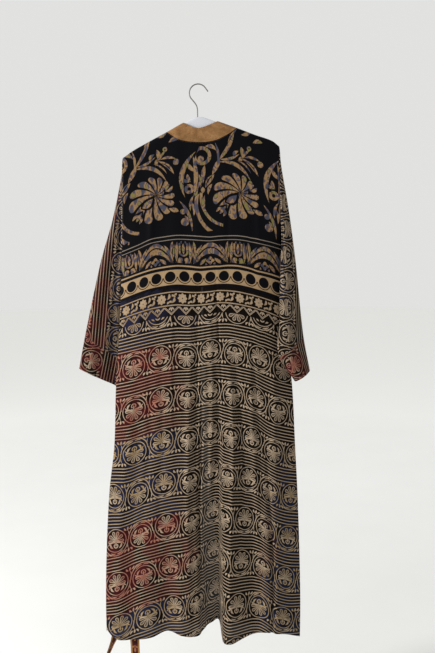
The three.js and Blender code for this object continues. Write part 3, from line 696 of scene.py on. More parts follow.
def vine_print(across, row):
    """The narrow bands above the field: a line, a vine of daisies, a line and a zigzag."""
    lines = reduce(Value.most, [BAND_LINES["half"] - abs(row - at) for at in BAND_LINES["rows"]])
    up = DAISY["row"] - row
    x = across.cell(DAISY["pitch"]) - DAISY["pitch"] / 2
    daisy = petals(x, up, DAISY["petals"], DAISY["inner"], DAISY["outer"], DAISY["half"])
    vine = daisy.most(leaves(x, up, DAISY_CURLS)).least(DAISY["room"] - abs(up))
    tooth = (across + ZIGZAG["tooth"]).fold(ZIGZAG["tooth"])  # 0 at a peak
    slope = row - ZIGZAG["peak"] - tooth * ZIGZAG["steep"]
    second = (ZIGZAG["second_half"] - abs(slope + ZIGZAG["second"])).least(row - ZIGZAG["second_top"])
    fan = leaves(ZIGZAG["tooth"] - tooth, ZIGZAG["peak"] - row, TOOTH_FAN)
    fan = fan.least(slope * -1.0 - ZIGZAG["fan_gap"])
    zigzag = (ZIGZAG["half"] - abs(slope)).most(second).most(fan)
    zigzag = zigzag.least(ZIGZAG["end"] - row).least(row - ZIGZAG["top"])
    return lines.most(vine).most(zigzag)


BORDER_LINES = [(392.5, 1.1), (403.0, 0.9)]  # row, half width
FAN = {"foot": 470.5, "half_pitch": 72.5, "gap": 1.5, "low": 1.0, "high": 62.5}
FAN_LEAVES = [
    (0, 57, 0, 88, 5.6, 46, 0.0), (54.5, 33, 88, 56, 4.2, 1.5, 0.2), (19, 12, -40, 27, 4.2, 1.5, 0.3),
    (0, 40, 0, 82, 8.0, 34, 0.0), (72.5, 42, 90, 30, 4.0, 0, 0.0), (10, 5, -60, 10, 3.0, 0, 0.0),
    (37, 31, -66, 58, 4.4, 3, 0.0), (42, 46, 84, 36, 3.2, 2.0, 0.3), (61, 7, -6, 18, 3.4, 3.0, 0.0),
    (30, 22, -50, 44, 4.0, 2, 0.0), (47.5, 30, 82, 50, 2.2, -2.0, 0.0), (66, 57, 70, 14, 2.2, 0, 0.0),
]
CUP = {"up": 33.0, "radius": 9.6, "half": 2.3, "top": 57.0, "gap": 1.4}
CURL = {"across": 64.5, "up": 12.0, "radius": 6.0}
FAN_FLOWER = {"up": 13.0, "petals": 4, "inner": 2.4, "outer": 11.5, "half": 5.4, "room": 12.5}
PLAIN_LINE = {"row": 475.0, "half": 1.9}
DOTS = {"top": 484.5, "end": 522.5, "half_pitch": 17.9, "row": 501.5, "radius": 13.4}
SCALLOP = {"radius": 17.3, "half": 1.1, "top": 503.0}


def border_print(across, row):
    """Two thin lines, a row of fanned leaves, a line and an ochre band with black dots."""
    thin = reduce(Value.most, [half - abs(row - at) for at, half in BORDER_LINES])
    up = FAN["foot"] - row
    side = across.fold(FAN["half_pitch"])
    cup = circle(side - FAN["half_pitch"], (up - CUP["up"]).least(0.0), CUP["radius"], CUP["half"])
    cup = cup.least(CUP["top"] - up)
    curl = CURL["radius"] - distance(side - CURL["across"], up - CURL["up"])
    from_flower = up - FAN_FLOWER["up"]
    flower = petals(side, from_flower, *(FAN_FLOWER[k] for k in ("petals", "inner", "outer", "half")))
    fans = layered(side, up, FAN_LEAVES, FAN["gap"]).least(cup * -1.0 - CUP["gap"]).most(cup).most(curl)
    fans = fans.least(distance(side, from_flower) - FAN_FLOWER["room"]).most(flower)
    fans = fans.least(up - FAN["low"]).least(FAN["high"] - up)
    reach = distance(across.fold(DOTS["half_pitch"]), row - DOTS["row"])
    scallop = (SCALLOP["half"] - abs(reach - SCALLOP["radius"])).least(row - SCALLOP["top"])
    dotted = (row - DOTS["top"]).least(DOTS["end"] - row).least(reach - DOTS["radius"]).least(scallop * -1.0)
    return thin, fans, (PLAIN_LINE["half"] - abs(row - PLAIN_LINE["row"])).most(dotted)


YOKE = {"pitch": 221.0, "start": -81.2, "left": -148.5, "middle": 288.0, "petals": 13, "low": 112.0}
# The flower: its petals' root, twist, share of a petal's room, gap between petals and their round ends.
YOKE_FLOWER = {"from": (13.0, 11.0), "twist": 0.006, "full": 0.79, "gap": 0.5, "end": 12.0, "reach": 49.0,
               "drop_gap": 7.0}
YOKE_DROP = [(-9, -8, 36, 34, 8.5, -3, -0.3)]
YOKE_GAP = 1.2  # the bare edge between the scroll's leaves
# Arcs under the flower: middle x and y, radius, half width, highest y and how far left they end.
YOKE_ARCS = [(-14.0, -2.0, 77.0, 3.8, 8.0, 34.0), (-20.0, -20.0, 84.0, 4.6, 5.0, 60.0)]
# The arc at the scroll's head, and the slanting line that cuts it off: its slope and how far to the left.
YOKE_HEAD = {"middle": (-88.0, 104.0), "radius": 20.0, "half": 4.4, "slope": 0.4, "left": 146.0}
# Leaves and stems of the scroll, from the flower's middle.
YOKE_LEAVES = [
    (-140, 62, 76, 122, 6.6, 22, 0.0), (-104, 52, 91, 106, 5.6, -7, 0.0), (-118, 73, 132, 32, 5.0, 3, 0.2),
    (-125, 48, 112, 20, 4.6, 2, 0.0), (-131, 40, 158, 26, 4.2, 3, 0.2), (-96, 30, 60, 24, 4.0, 3, 0.2),
    (-85, 56, 84, 48, 5.6, 2, 0.2), (-92, 40, 98, 40, 3.0, -4, 0.0), (-70, 40, 56, 42, 6.4, 3, 0.1),
    (-86, 15, 90, 16, 5.4, 0, 0.0), (-104, 10, 84, 40, 4.4, 4, 0.2), (-70, 18, 70, 30, 4.0, 3, 0.2),
    (-124, -48, 112, 92, 4.0, -9, 0.0), (-119, -18, 78, 42, 3.6, 4, 0.0), (-110, -34, 97, 36, 3.4, -3, 0.0),
    (-51, 75, 62, 46, 6.4, 0, 0.2), (-45, 112, 97, 52, 3.0, -5, 0.0), (-22, 122, 59, 92, 4.8, -6, 0.2),
    (-12, 152, 66, 60, 3.8, 5, 0.0), (-62, 128, 158, 32, 5.0, -6, 0.3), (4, 82, -26, 98, 5.0, 18, -0.1),
    (-14, 98, 18, 56, 3.4, -6, 0.0), (42, 86, -42, 58, 4.6, 6, 0.2), (26, 84, -40, 46, 2.0, 5, 0.0),
    (19, 116, 96, 30, 5.2, -3, 0.3), (-2, 113, 58, 22, 4.6, 5, 0.2), (28, 116, 52, 32, 3.0, 3, 0.0),
    (44, 107, -4, 42, 3.4, 5, 0.0), (14, 99, 62, 20, 5.0, 2, 0.0), (-128, -58, 150, 18, 3.2, 3, 0.0),
    (30, 166, 30, 30, 5.0, -4, 0.0), (58, 152, 10, 26, 5.2, 4, 0.0), (-84, -20, 88, 44, 3.4, 2, 0.0),
]
YOKE_CURLS = [
    (-91, 96, 5.0, 4.0), (-122, 19, 9.5, 3.6), (-139, -40, 4.8, 3.2), (-134, -68, 7.4, 3.8),
    (36, 129, 4.6, 1.8), (65, 93, 5.4, 3.0),
]
YOKE_BUDS = [
    (48, 22, 30, 22, 4.6, -4, 0.3), (40, 30, 62, 20, 4.0, 3, 0.3), (-34, -36, 232, 26, 4.2, 0, 0.3),
    (-43, -33, 205, 22, 3.8, -4, 0.3), (-28, -44, 262, 20, 3.8, 4, 0.3), (58, -33, -22, 28, 6.0, 0, 0.4),
]
YOKE_BUD_ROOM = [
    (47, 24, 40, 40, 13.0, 0, 0.3), (-36, -37, 230, 40, 13.0, 0, 0.3), (56, -31, -22, 34, 9.0, 0, 0.3),
]
YOKE_VEINS = [
    (-71, 41, 56, 34, 1.6, 3, 0.0), (42, 85, -42, 44, 1.3, 6, 0.0), (-134, 30, 150, 22, 1.6, 4, 0.0),
]


def yoke_print(across, row):
    """Large flowers and leafy scrolls in turn."""
    x = across.cell(YOKE["pitch"], YOKE["start"]) + YOKE["left"]
    y = YOKE["middle"] - row
    from_x, from_y = x - YOKE_FLOWER["from"][0], y - YOKE_FLOWER["from"][1]
    spoke = distance(from_x, from_y)
    lobe = math.pi / YOKE["petals"]
    full = YOKE_FLOWER["full"] * lobe
    fold = (from_x.reckon("ARCTAN2", from_y) + spoke * YOKE_FLOWER["twist"]).fold(lobe)
    gap = spoke * (fold * -1.0 + full) - YOKE_FLOWER["gap"]
    round_end = (fold * fold).times_plus(-1 / full**2, 1.0).most(0.0).reckon("SQRT")
    flower = gap.least(round_end.times_plus(YOKE_FLOWER["end"], YOKE_FLOWER["reach"]) - distance(x, y))
    drop = leaves(x, y, YOKE_DROP)
    flower = flower.least(drop * -1.0 - YOKE_FLOWER["drop_gap"]).most(drop)
    flower = flower.least(leaves(x, y, YOKE_BUD_ROOM) * -1.0).most(leaves(x, y, YOKE_BUDS))
    cx, cy = YOKE_HEAD["middle"]
    head = circle(x - cx, y - cy, YOKE_HEAD["radius"], YOKE_HEAD["half"])
    head = head.least(x - y * YOKE_HEAD["slope"] + YOKE_HEAD["left"])
    scroll = layered(x, y, YOKE_LEAVES, YOKE_GAP).most(rings(x, y, YOKE_CURLS)).most(head)
    for cx, cy, radius, half, top, near in YOKE_ARCS:
        scroll = scroll.most(circle(x - cx, y - cy, radius, half).least(top - y).least(x * -1.0 - near))
    return flower.most(scroll.least(leaves(x, y, YOKE_VEINS) * -1.0)).least(row - YOKE["low"])


# ---- materials ----
def srgb(red, green, blue):
    """A colour as a screen shows it, 0 to 255, as linear light."""
    levels = (red, green, blue)
    return tuple(((c / 255 + 0.055) / 1.055) ** 2.4 if c > 10.31 else c / 3294.6 for c in levels) + (1.0,)


class Board:
    """The nodes of one material."""

    def __init__(self, name):
        self.material = bpy.data.materials.new(name)
        self.material.use_nodes = True
        self.tree = self.material.node_tree
        self.shader = self.tree.nodes["Principled BSDF"]

    def add(self, kind, **settings):
        node = self.tree.nodes.new(kind)
        for key, value in settings.items():
            setattr(node, key, value)
        return node

    def cut(self):
        """Place on the cut cloth, across and down, in millimetres."""
        uv = self.add("ShaderNodeUVMap", uv_map="Cut")
        parts = self.add("ShaderNodeSeparateXYZ")
        self.tree.links.new(uv.outputs[0], parts.inputs[0])
        return Value(self.tree, parts.outputs[0]) * 1000.0, Value(self.tree, parts.outputs[1]) * 1000.0

    def point(self, x, y):
        node = self.add("ShaderNodeCombineXYZ")
        self.tree.links.new(x.socket, node.inputs[0])
        self.tree.links.new(y.socket, node.inputs[1])
        return node.outputs[0]

    def noise(self, place, scale, detail=2.0, rough=0.5):
        node = self.add("ShaderNodeTexNoise")
        node.inputs["Scale"].default_value = scale
        node.inputs["Detail"].default_value = detail
        node.inputs["Roughness"].default_value = rough
        self.tree.links.new(place, node.inputs["Vector"])
        return Value(self.tree, node.outputs["Fac"])

    def mix(self, share, first, second):
        """Colour between two, each a colour or a socket."""
        node = self.add("ShaderNodeMix", data_type="RGBA")
        self.tree.links.new(share.socket, node.inputs["Factor"])
        for socket, colour in ((node.inputs[6], first), (node.inputs[7], second)):
            if isinstance(colour, tuple):
                socket.default_value = colour
            else:
                self.tree.links.new(colour, socket)
        return node.outputs[2]

    def ramp(self, value, stops):
        node = self.add("ShaderNodeValToRGB")
        marks = node.color_ramp.elements
        while len(marks) < len(stops):
            marks.new(0.5)
        for mark, (place, colour) in zip(marks, stops):
            mark.position, mark.color = place, colour
        self.tree.links.new(value.socket, node.inputs[0])
        return node.outputs[0]

    def bump(self, height, strength, distance):
        node = self.add("ShaderNodeBump")
        node.inputs["Strength"].default_value = strength
        node.inputs["Distance"].default_value = distance
        self.tree.links.new(height.socket, node.inputs["Height"])
        self.tree.links.new(node.outputs[0], self.shader.inputs["Normal"])

    def settle(self, numbers):
        """Sets numbers that are the same all over the surface."""
        for name, number in numbers.items():
            self.shader.inputs[name].default_value = number


SILK = {"Roughness": 0.5, "Specular IOR Level": 0.035, "Sheen Weight": 0.012, "Sheen Roughness": 0.4}
WEAVE = {"pitch": 0.55, "band_pitch": 0.8, "strength": 0.22, "depth": 0.0002}
GRAIN = {"strength": 0.3, "depth": 0.00008}  # of a moulded or drawn surface, its depth in metres
BLACK = srgb(7, 6, 9)
BROWN_BLACK = srgb(11, 6, 3)
BEIGE = srgb(164, 145, 123)
GREY_BEIGE = srgb(118, 108, 96)
OCHRE = srgb(144, 120, 90)


def finish_cloth(board, colour, across, row, alpha=1.0, weave=WEAVE["pitch"]):
    """Silk's sheen and weave on a printed colour."""
    board.tree.links.new(colour, board.shader.inputs["Base Color"])
    board.settle({**SILK, "Alpha": alpha})
    threads = (across * (2 * math.pi / weave)).reckon("SINE")
    picks = (row * (2 * math.pi / weave)).reckon("SINE")
    slubs = board.noise(board.point(across * 0.02, row * 1.6), 1.0)
    board.bump((threads * picks).times_plus(0.5, slubs), WEAVE["strength"], WEAVE["depth"])
    return board.material


PATCHES = [
    (0.0, srgb(58, 62, 72)), (0.385, srgb(62, 62, 72)), (0.395, srgb(82, 68, 72)),
    (0.43, srgb(82, 66, 70)), (0.44, srgb(120, 94, 64)), (0.49, srgb(126, 98, 64)),
    (0.50, srgb(112, 92, 70)), (0.53, srgb(132, 108, 78)), (0.57, srgb(124, 96, 60)),
    (0.58, srgb(76, 66, 76)), (0.63, srgb(72, 62, 74)), (0.64, srgb(108, 98, 56)),
]


def patch_tone(board, across, row):
    """Ochre, grey, purple and olive in patches, as dye was brushed over the block print."""
    tone = board.noise(board.point(across * 0.07, row * 0.04), 1.0, 1.0)
    return board.ramp(tone, PATCHES)




def yoke_silk():
    board = Board("silk_yoke")
    across, row = board.cut()
    worn = board.noise(board.point(across, row), 0.35, 3.0).times_plus(0.5, 0.62)
    ink = yoke_print(across, row).ink(INK_EDGE["fine"]) * worn
    return finish_cloth(board, board.mix(ink, BLACK, patch_tone(board, across, row)), across, row)


def border_silk():
    board = Board("silk_border")
    across, row = board.cut()
    thin, fans, plain = border_print(across, row)
    worn = board.noise(board.point(across, row), 0.3, 3.0).times_plus(0.45, 0.66)
    colour = BLACK
    for shape, dye in ((fans, patch_tone(board, across, row)), (plain, OCHRE), (thin, GREY_BEIGE)):
        colour = board.mix(shape.ink(INK_EDGE["fine"]) * worn, colour, dye)
    return finish_cloth(board, colour, across, row)


# The dyed patches: how red (towards 1) or blue (towards 0) by row, as shares of the length from 560 to 1560.
DYE_TOP, DYE_LENGTH = 560.0, 1000.0
DYES = [
    (0.0, 0.1), (0.095, 0.1), (0.1, 0.95), (0.325, 0.95), (0.33, 0.05), (0.55, 0.05), (0.555, 0.95),
    (0.775, 0.95), (0.78, 0.05),
]
# Where the dye reaches in from each side: its fall across, its start and how ragged its edge is.
DYE_REACH = {"left": (-0.012, -0.8, 3.2), "right": (0.02, -3.9, 3.0)}
RIGHT_DYE = {"from": 930.0, "soft": 60.0}
BLOTS = {"scale": 0.03, "contrast": 6.0, "least": -2.3}
DYE_DARK = (srgb(22, 30, 52), srgb(56, 14, 13))  # over the ground, blue and red
DYE_LINES = (srgb(142, 118, 74), srgb(142, 84, 70))  # over the lines, blue and red
PRINT_EDGE = {"field": 597.0, "ochre": 574.0, "soft": 2.0}  # the rows where the field and the beige begin
FIELD_ALPHA = 0.985


def field_silk(name, strength):
    """Silk of the striped and ringed pattern. Strength scales the lines' ink: below 1 it is painted shade that
    darkens the whole piece.
    """
    board = Board(name)
    across, row = board.cut()
    place = board.point(across, row)
    ink, fill = field_print(across, row)
    narrow = vine_print(across, row).ink(INK_EDGE["fine"])
    above = (PRINT_EDGE["field"] - row).ink(PRINT_EDGE["soft"])
    upper = (PRINT_EDGE["ochre"] - row).ink(PRINT_EDGE["soft"])
    below = above.times_plus(-1.0, 1.0)
    ink = (ink * below).most(narrow * above).least(1.0)
    cloud = board.noise(place, 0.011, 3.0, 0.6) - 0.5
    fleck = board.noise(place, 0.3, 3.0)
    left, right = (
        (across * fall + start + cloud * ragged).clamped() for fall, start, ragged in DYE_REACH.values()
    )
    right = right * (row - RIGHT_DYE["from"]).ink(RIGHT_DYE["soft"])
    blots = (board.noise(place, BLOTS["scale"], 3.0) * BLOTS["contrast"] + BLOTS["least"]).clamped()
    dyed = left.most(right) * blots
    in_stripes = (GROUP - row.cell(ROW_PITCH, FIRST_STRIPES)).ink(PRINT_EDGE["soft"])
    down = (row - DYE_TOP) * (1 / DYE_LENGTH) + (fleck - 0.5) * 0.03
    redness = Value(board.tree, board.ramp(down, [(p, (v, v, v, 1.0)) for p, v in DYES]))
    red = redness * right.times_plus(-1.0, 1.0)
    ground = board.mix(dyed * in_stripes.times_plus(-0.3, 0.8), BROWN_BLACK, board.mix(red, *DYE_DARK))
    undyed = board.mix(upper * 0.5, BEIGE, OCHRE)
    lines = board.mix(dyed * in_stripes.times_plus(-0.3, 0.85), undyed, board.mix(red, *DYE_LINES))
    # Strength below 1 dims the lines: painted shade over the piece.
    inked = board.mix((fleck * 0.6 + 0.48) * ink * strength, ground, lines)
    return finish_cloth(board, board.mix(fill * below * 0.2, inked, lines), across, row, FIELD_ALPHA)


BAND_TONES = [(0.3, srgb(98, 70, 42)), (0.5, srgb(120, 88, 56)), (0.7, srgb(140, 106, 70))]
BAND_SPECK = {"colour": srgb(104, 60, 32), "scale": 0.11, "above": 0.63, "soft": 0.08, "strength": 0.7}
BELT_TONES = [(0.35, srgb(46, 22, 22)), (0.6, srgb(78, 34, 30))]
BELT_EDGE = {"at": 12.0, "half": 2.4, "colour": srgb(160, 120, 66), "strength": 0.85}
BELT_SPRIG = {"pitch": 34.0, "colour": srgb(150, 104, 70), "strength": 0.7}
BELT_LEAVES = [(0, 6, 90, 16, 3.2, 0, 0.3), (5, -3, 30, 13, 2.6, 2, 0.3), (-5, -3, 150, 13, 2.6, -2, 0.3)]


def band_silk():
    board = Board("silk_band")
    across, row = board.cut()
    place = board.point(across, row)
    colour = board.ramp(board.noise(place, 0.035, 4.0, 0.65), BAND_TONES)
    speck = (board.noise(place, BAND_SPECK["scale"], 2.0, 0.7) - BAND_SPECK["above"]).ink(BAND_SPECK["soft"])
    colour = board.mix(speck * BAND_SPECK["strength"], colour, BAND_SPECK["colour"])
    return finish_cloth(board, colour, across, row, weave=WEAVE["band_pitch"])


def belt_silk():
    board = Board("silk_belt")
    across, row = board.cut()
    edge = (BELT_EDGE["half"] - abs(abs(across) - BELT_EDGE["at"])).ink(INK_EDGE["field"])
    down = row.cell(BELT_SPRIG["pitch"]) - BELT_SPRIG["pitch"] / 2
    sprig = leaves(across, down, BELT_LEAVES).ink(INK_EDGE["field"])
    colour = board.ramp(board.noise(board.point(across, row), 0.05, 3.0), BELT_TONES)
    for shape, dye in ((sprig, BELT_SPRIG), (edge, BELT_EDGE)):
        colour = board.mix(shape * dye["strength"], colour, dye["colour"])
    return finish_cloth(board, colour, across, row)


def plain_material(name, colour, rough, metal=0.0, grain=6.0, smudge=0.3):
    """Moulded or drawn surface with a faint uneven gloss."""
    board = Board(name)
    place = board.add("ShaderNodeTexCoord").outputs["Object"]
    mottle = board.noise(place, grain * 10, 4.0, 0.6)
    darker = tuple(c * 0.86 for c in colour[:3]) + (1.0,)
    board.tree.links.new(board.mix(mottle * smudge, colour, darker), board.shader.inputs["Base Color"])
    board.tree.links.new((mottle * 0.12 + (rough - 0.06)).socket, board.shader.inputs["Roughness"])
    board.settle({"Metallic": metal})
    board.bump(board.noise(place, grain * 60, 3.0), GRAIN["strength"], GRAIN["depth"])
    return board.material


# ---- stage, light and camera ----
FLOOR_DROP = 1.85  # metres from the rail down to the floor
FLOOR_REACH = 14.0  # metres
STUDIO = {"colour": (0.86, 0.86, 0.85, 1), "strength": 0.88}
LIGHT_AIM = (0, 0, -0.8)
# Lights: name, place, size and power.
LIGHTS = [
    ("key", (-2.7, -1.1, 0.4), 0.8, 150),
    ("fill", (2.2, -1.8, 0.2), 2.0, 6),
    ("rear", (0.8, 2.6, 0.8), 1.8, 12),
]
CAMERA = {"place": (0.10207, -2.15, -0.3884), "yaw": 1.46, "pitch": 6.6, "roll": 0.34, "lens": 44.1}


def add_camera():
    yaw, pitch, roll = (math.radians(CAMERA[k]) for k in ("yaw", "pitch", "roll"))
    ahead = Vector((-math.sin(yaw) * math.cos(pitch), math.cos(yaw) * math.cos(pitch), -math.sin(pitch)))
    level = Vector((math.cos(yaw), math.sin(yaw), 0))
    upright = level.cross(ahead)
    right = level * math.cos(roll) - upright * math.sin(roll)
    up = upright * math.cos(roll) + level * math.sin(roll)
    data = bpy.data.cameras.new("camera")
    data.lens, data.sensor_width = CAMERA["lens"], 36
    camera = link("camera", data)
    facing = Matrix((right, up, -ahead)).transposed().to_4x4()
    camera.matrix_world = Matrix.Translation(CAMERA["place"]) @ facing
    bpy.context.scene.camera = camera


def add_light(name, place, size, power):
    data = bpy.data.lights.new(name, "AREA")
    data.shape, data.size, data.energy = "DISK", size, power
    light = link(name, data)
    light.location = place
    light.rotation_euler = (Vector(LIGHT_AIM) - Vector(place)).to_track_quat("-Z", "Y").to_euler()


def floor_material():
    """A pale floor, darker near the object and paler far away: painted shade where the lamps' light pools and
    painted light far off.
    """
    board = Board("floor_pale")
    place = board.add("ShaderNodeTexCoord").outputs["Object"]
    far = board.add("ShaderNodeVectorMath", operation="LENGTH")
    board.tree.links.new(place, far.inputs[0])
    painted_light_reach = Value(board.tree, far.outputs["Value"])
    grain = (board.noise(place, 4.0, 3.0) - 0.5) * 0.04
    # Painted shade near the middle and painted light towards the floor's rim, by distance from the middle.
    tone = board.ramp(painted_light_reach * 0.125 + grain, [(0.1, srgb(190, 190, 188)), (0.6, srgb(253, 253, 251))])
    board.tree.links.new(tone, board.shader.inputs["Base Color"])
    board.settle({"Roughness": 0.85, "Specular IOR Level": 0.1})
    return board.material


def add_stage():
    world = bpy.data.worlds.new("studio")
    bpy.context.scene.world = world
    world.use_nodes = True
    back = world.node_tree.nodes["Background"]
    back.inputs["Color"].default_value = STUDIO["colour"]
    back.inputs["Strength"].default_value = STUDIO["strength"]
    for light in LIGHTS:
        add_light(*light)
    mesh = bpy.data.meshes.new("floor")
    turn = np.linspace(0, 2 * math.pi, 65)[:-1]
    ring = [(FLOOR_REACH * math.cos(a), FLOOR_REACH * math.sin(a), -FLOOR_DROP) for a in turn]
    mesh.from_pydata(ring, [], [tuple(range(len(ring)))])
    floor = link("floor", mesh)
    floor.data.materials.append(floor_material())


# ---- garment pieces ----
def pick_print(uv):
    row = uv[:, 1] / MM
    return np.where(row < BORDER_TOP, 0, np.where(row < FIELD_TOP, 1, 2))


def add_back(silks):
    neck_left = (NECK["left"] - SHOULDER["middle"]) / SHOULDER["half"]
    neck_right = (NECK["right"] - SHOULDER["middle"]) / SHOULDER["half"]
    u = spread(
        (-1, neck_left, 30), (neck_left, PLEAT["left"], 28), (PLEAT["left"], PLEAT["floor"], 12),
        (PLEAT["floor"], PLEAT["floor_end"], 10), (PLEAT["floor_end"], PLEAT["right"], 10),
        (PLEAT["right"], neck_right, 20), (neck_right, 1, 32),
    )
    x_top = SHOULDER["middle"] + SHOULDER["half"] * u
    inside = (u > neck_left + 1e-6) & (u < neck_right - 1e-6)
    top = np.where(inside, along(NECKLINE, x_top), along(RIDGE, x_top))
    z = rows_down(top, along(BACK_HEM, u), ROW_PLACES)
    x = lerp(side_at(z, "left"), side_at(z, "right"), (u + 1) / 2)
    points = on_cloth(x, z, "back")
    place = np.broadcast_to(u, z.shape)
    row = print_row(place, z)
    uv = np.stack([print_column(place, row), row], -1)
    points, uv = turn_sides(points, uv)
    points, uv = turn_hem(points, uv)
    grids = [{"points": points, "uv": uv, "flip": True}]
    return make_piece("back_panel", "back", grids, silks, pick_print)


SETTLED_BY = 8  # the row below the shoulder where a front's edge has reached the band's line
FRONT_COLUMN = {"left": 1, "right": 2}
FRONT_SIDE = {"left": -250.0, "right": 262.0}  # the print's column at a front's side seam


def settle_at(places):
    """How far a front's edge has left the shoulder's neck point for the band's line, by row."""
    return ramp(np.minimum(places, 1) * (len(UPPER_ROWS) - 1) / SETTLED_BY)


def front_edge(side, places):
    """The seam between a front and its band: x and z by row."""
    z = rows_down([along(RIDGE, NECK[side])], [FRONT_HEM["middle"]], places)[:, 0]
    inner = along(FRONT_EDGE, z, FRONT_COLUMN[side])
    seam = inner - BAND_WIDTH if side == "left" else inner + BAND_WIDTH
    return lerp(NECK[side], seam, settle_at(places)), z


def add_front(side, silks):
    share = np.linspace(0, 1, 61)
    tip = RIDGE[0][0] if side == "left" else RIDGE[-1][0]
    edge_x, _ = front_edge(side, ROW_PLACES)
    top = along(RIDGE, lerp(tip, NECK[side], share))
    z = rows_down(top, lerp(FRONT_HEM["side"], FRONT_HEM["middle"], share), ROW_PLACES)
    x = lerp(side_at(z, side), edge_x[:, None], share)
    points = on_cloth(x, z, "front")
    across = arc_length(points[..., :2]) * (1 if side == "left" else -1)
    uv = np.stack([FRONT_SIDE[side] + across, print_row(across_at(x, z), z)], -1)
    points, uv = turn_sides(points, uv, ("first",))
    points, uv = turn_hem(points, uv)
    grids = [{"points": points, "uv": uv, "flip": side == "right"}]
    return make_piece(f"front_panel_{side}", f"front_{side}", grids, silks, pick_print)


def band_rows():
    """Rows of the neck band from one hem over the neck to the other: seam and inner edge, and which side."""
    places = spread((0, 0.3, 8), (0.3, 1, 24), (1, 2, 110))
    rows = {}
    for side in ("left", "right"):
        seam_x, seam_z = front_edge(side, places)
        z = rows_down([along(RIDGE, BAND_INNER[side])], [FRONT_HEM["middle"]], places)[:, 0]
        x = lerp(BAND_INNER[side], along(FRONT_EDGE, z, FRONT_COLUMN[side]), settle_at(places))
        rows[side] = np.stack([seam_x, seam_z, x, z], -1)
    a = np.linspace(0, 1, 62)[1:-1]
    seam_x, inner_x = lerp(NECK["left"], NECK["right"], a), lerp(BAND_INNER["left"], BAND_INNER["right"], a)
    behind = np.stack([seam_x, along(NECKLINE, seam_x), inner_x, along(BAND_TOP, inner_x)], -1)
    return rows["left"][::-1], behind, rows["right"]


# The band's section: how far it puffs out, its dip at the seam, and where its folded edge and lip lie.
BAND_FORM = {"puff": 0.5, "dip": 0.9, "dip_at": 0.03, "grows": 12.0, "edge": 0.3, "lip_in": 0.4, "least": 0.1}


def add_neck_band(silk):
    left, behind, right = band_rows()
    shares = spread((0.007, 0.03, 2), (0.03, 0.94, 9), (0.94, 1, 2))
    lines = []
    for rows, side in ((left, "front"), (behind, "back"), (right, "front")):
        x = lerp(rows[:, :1], rows[:, 2:3], shares)
        z = lerp(rows[:, 1:2], rows[:, 3:4], shares)
        sign = -1 if side == "back" else 1
        dip = np.exp(-((shares - BAND_FORM["dip_at"]) / BAND_FORM["dip_at"]) ** 2)
        puff = BAND_FORM["puff"] * np.sin(np.pi * shares) - BAND_FORM["dip"] * dip
        ridge = along(RIDGE, x)
        if side == "front":
            near = (np.arange(len(rows)) == (len(rows) - 1 if rows is left else 0))[:, None]
            z = np.where(near, ridge, z)
        y = stand_off(x, z, side, fine=False)
        inner = np.maximum(BAND_FORM["least"], y - CLOTH)
        outer = y + puff * np.clip((ridge - z) / BAND_FORM["grows"], 0, 1)
        edge_x = x[:, -1:] + (x[:, -1:] - x[:, -2:-1]) * BAND_FORM["edge"]
        edge = np.stack([edge_x, sign * (outer[:, -1:] + inner[:, -1:]) / 2, z[:, -1:]], -1)
        front = np.stack([x, sign * outer, z], -1)
        rear = np.stack([x, sign * inner, z], -1)[:, ::-1]
        past_seam = -SEAM_LIP / BAND_WIDTH
        lip_x, lip_z = (lerp(rows[:, k : k + 1], rows[:, k + 2 : k + 3], past_seam) for k in (0, 1))
        lip_z = np.minimum(lip_z, along(RIDGE, lip_x))
        lip_y = stand_off(lip_x, lip_z, side, fine=False) - CLOTH - BAND_FORM["lip_in"]
        lip = np.stack([lip_x, sign * np.maximum(BAND_FORM["least"], lip_y), lip_z], -1)
        lines.append(np.concatenate([front, edge, rear, lip, front[:, :1]], axis=1))
    points = np.concatenate(lines)
    length = arc_length(points[:, 5:6], axis=0)
    across = arc_length(points)
    grids = [round_grid(points, table_uv(across, length, across.shape))]
    return make_piece("neck_band_strip", "neck_band", grids, [silk])


def sleeve_ring(side, t, steps):
    """A closed ring of points round a sleeve. It starts at the outer fold and goes down the back first."""
    table = SLEEVES[side]
    at = [float(along(table, t, k)) for k in range(8)]
    tip_z = RIDGE[0][1] if side == "left" else RIDGE[-1][1]
    outward = -1 if side == "left" else 1
    oval = float(ramp(t / SLEEVE_FORM["oval_by"]))
    leave = min(1.0, t / SLEEVE_FORM["leaves_by"])
    w = np.concatenate([np.linspace(0, 1, steps + 1), np.linspace(1, 0, steps + 1)[1:]])
    sign = np.where(np.arange(2 * steps + 1) <= steps, -1, 1)
    drop = along([(i / (len(UPPER_ROWS) - 1), d) for i, d in enumerate(UPPER_ROWS)], w)
    even = (1 - np.cos(np.pi * w)) / 2
    share = lerp(drop / ARMHOLE, even, oval)
    edge_z = tip_z - drop
    edge_x = side_at(edge_z, side) + outward * SEAM
    back = stand_off(edge_x, edge_z, "back", fine=False)
    front = stand_off(edge_x, edge_z, "front", fine=False)
    ends = np.clip(np.minimum(w, 1 - w) * SLEEVE_FORM["closes"], 0, 1)
    edge_y = np.where(sign < 0, back, front) * ends
    round_y = at[7] * (1 - (2 * share - 1) ** 2) ** SLEEVE_FORM["roundness"]
    waves = 1.6 * np.sin(9 * share + 6 * t + 1.5 * sign) + 1.1 * np.sin(21 * share - 4 * t)
    y = np.maximum(0, lerp(edge_y, round_y, oval) + waves * oval * ends * np.sin(np.pi * share))
    lie = lerp(at[2], at[5], ramp(share / SLEEVE_LIE))
    x = lerp(edge_x, lerp(at[1], at[4], share), leave)
    z = lerp(edge_z, lerp(at[3], at[6], share), leave)
    return np.stack([x, lie + sign * y, z], -1)


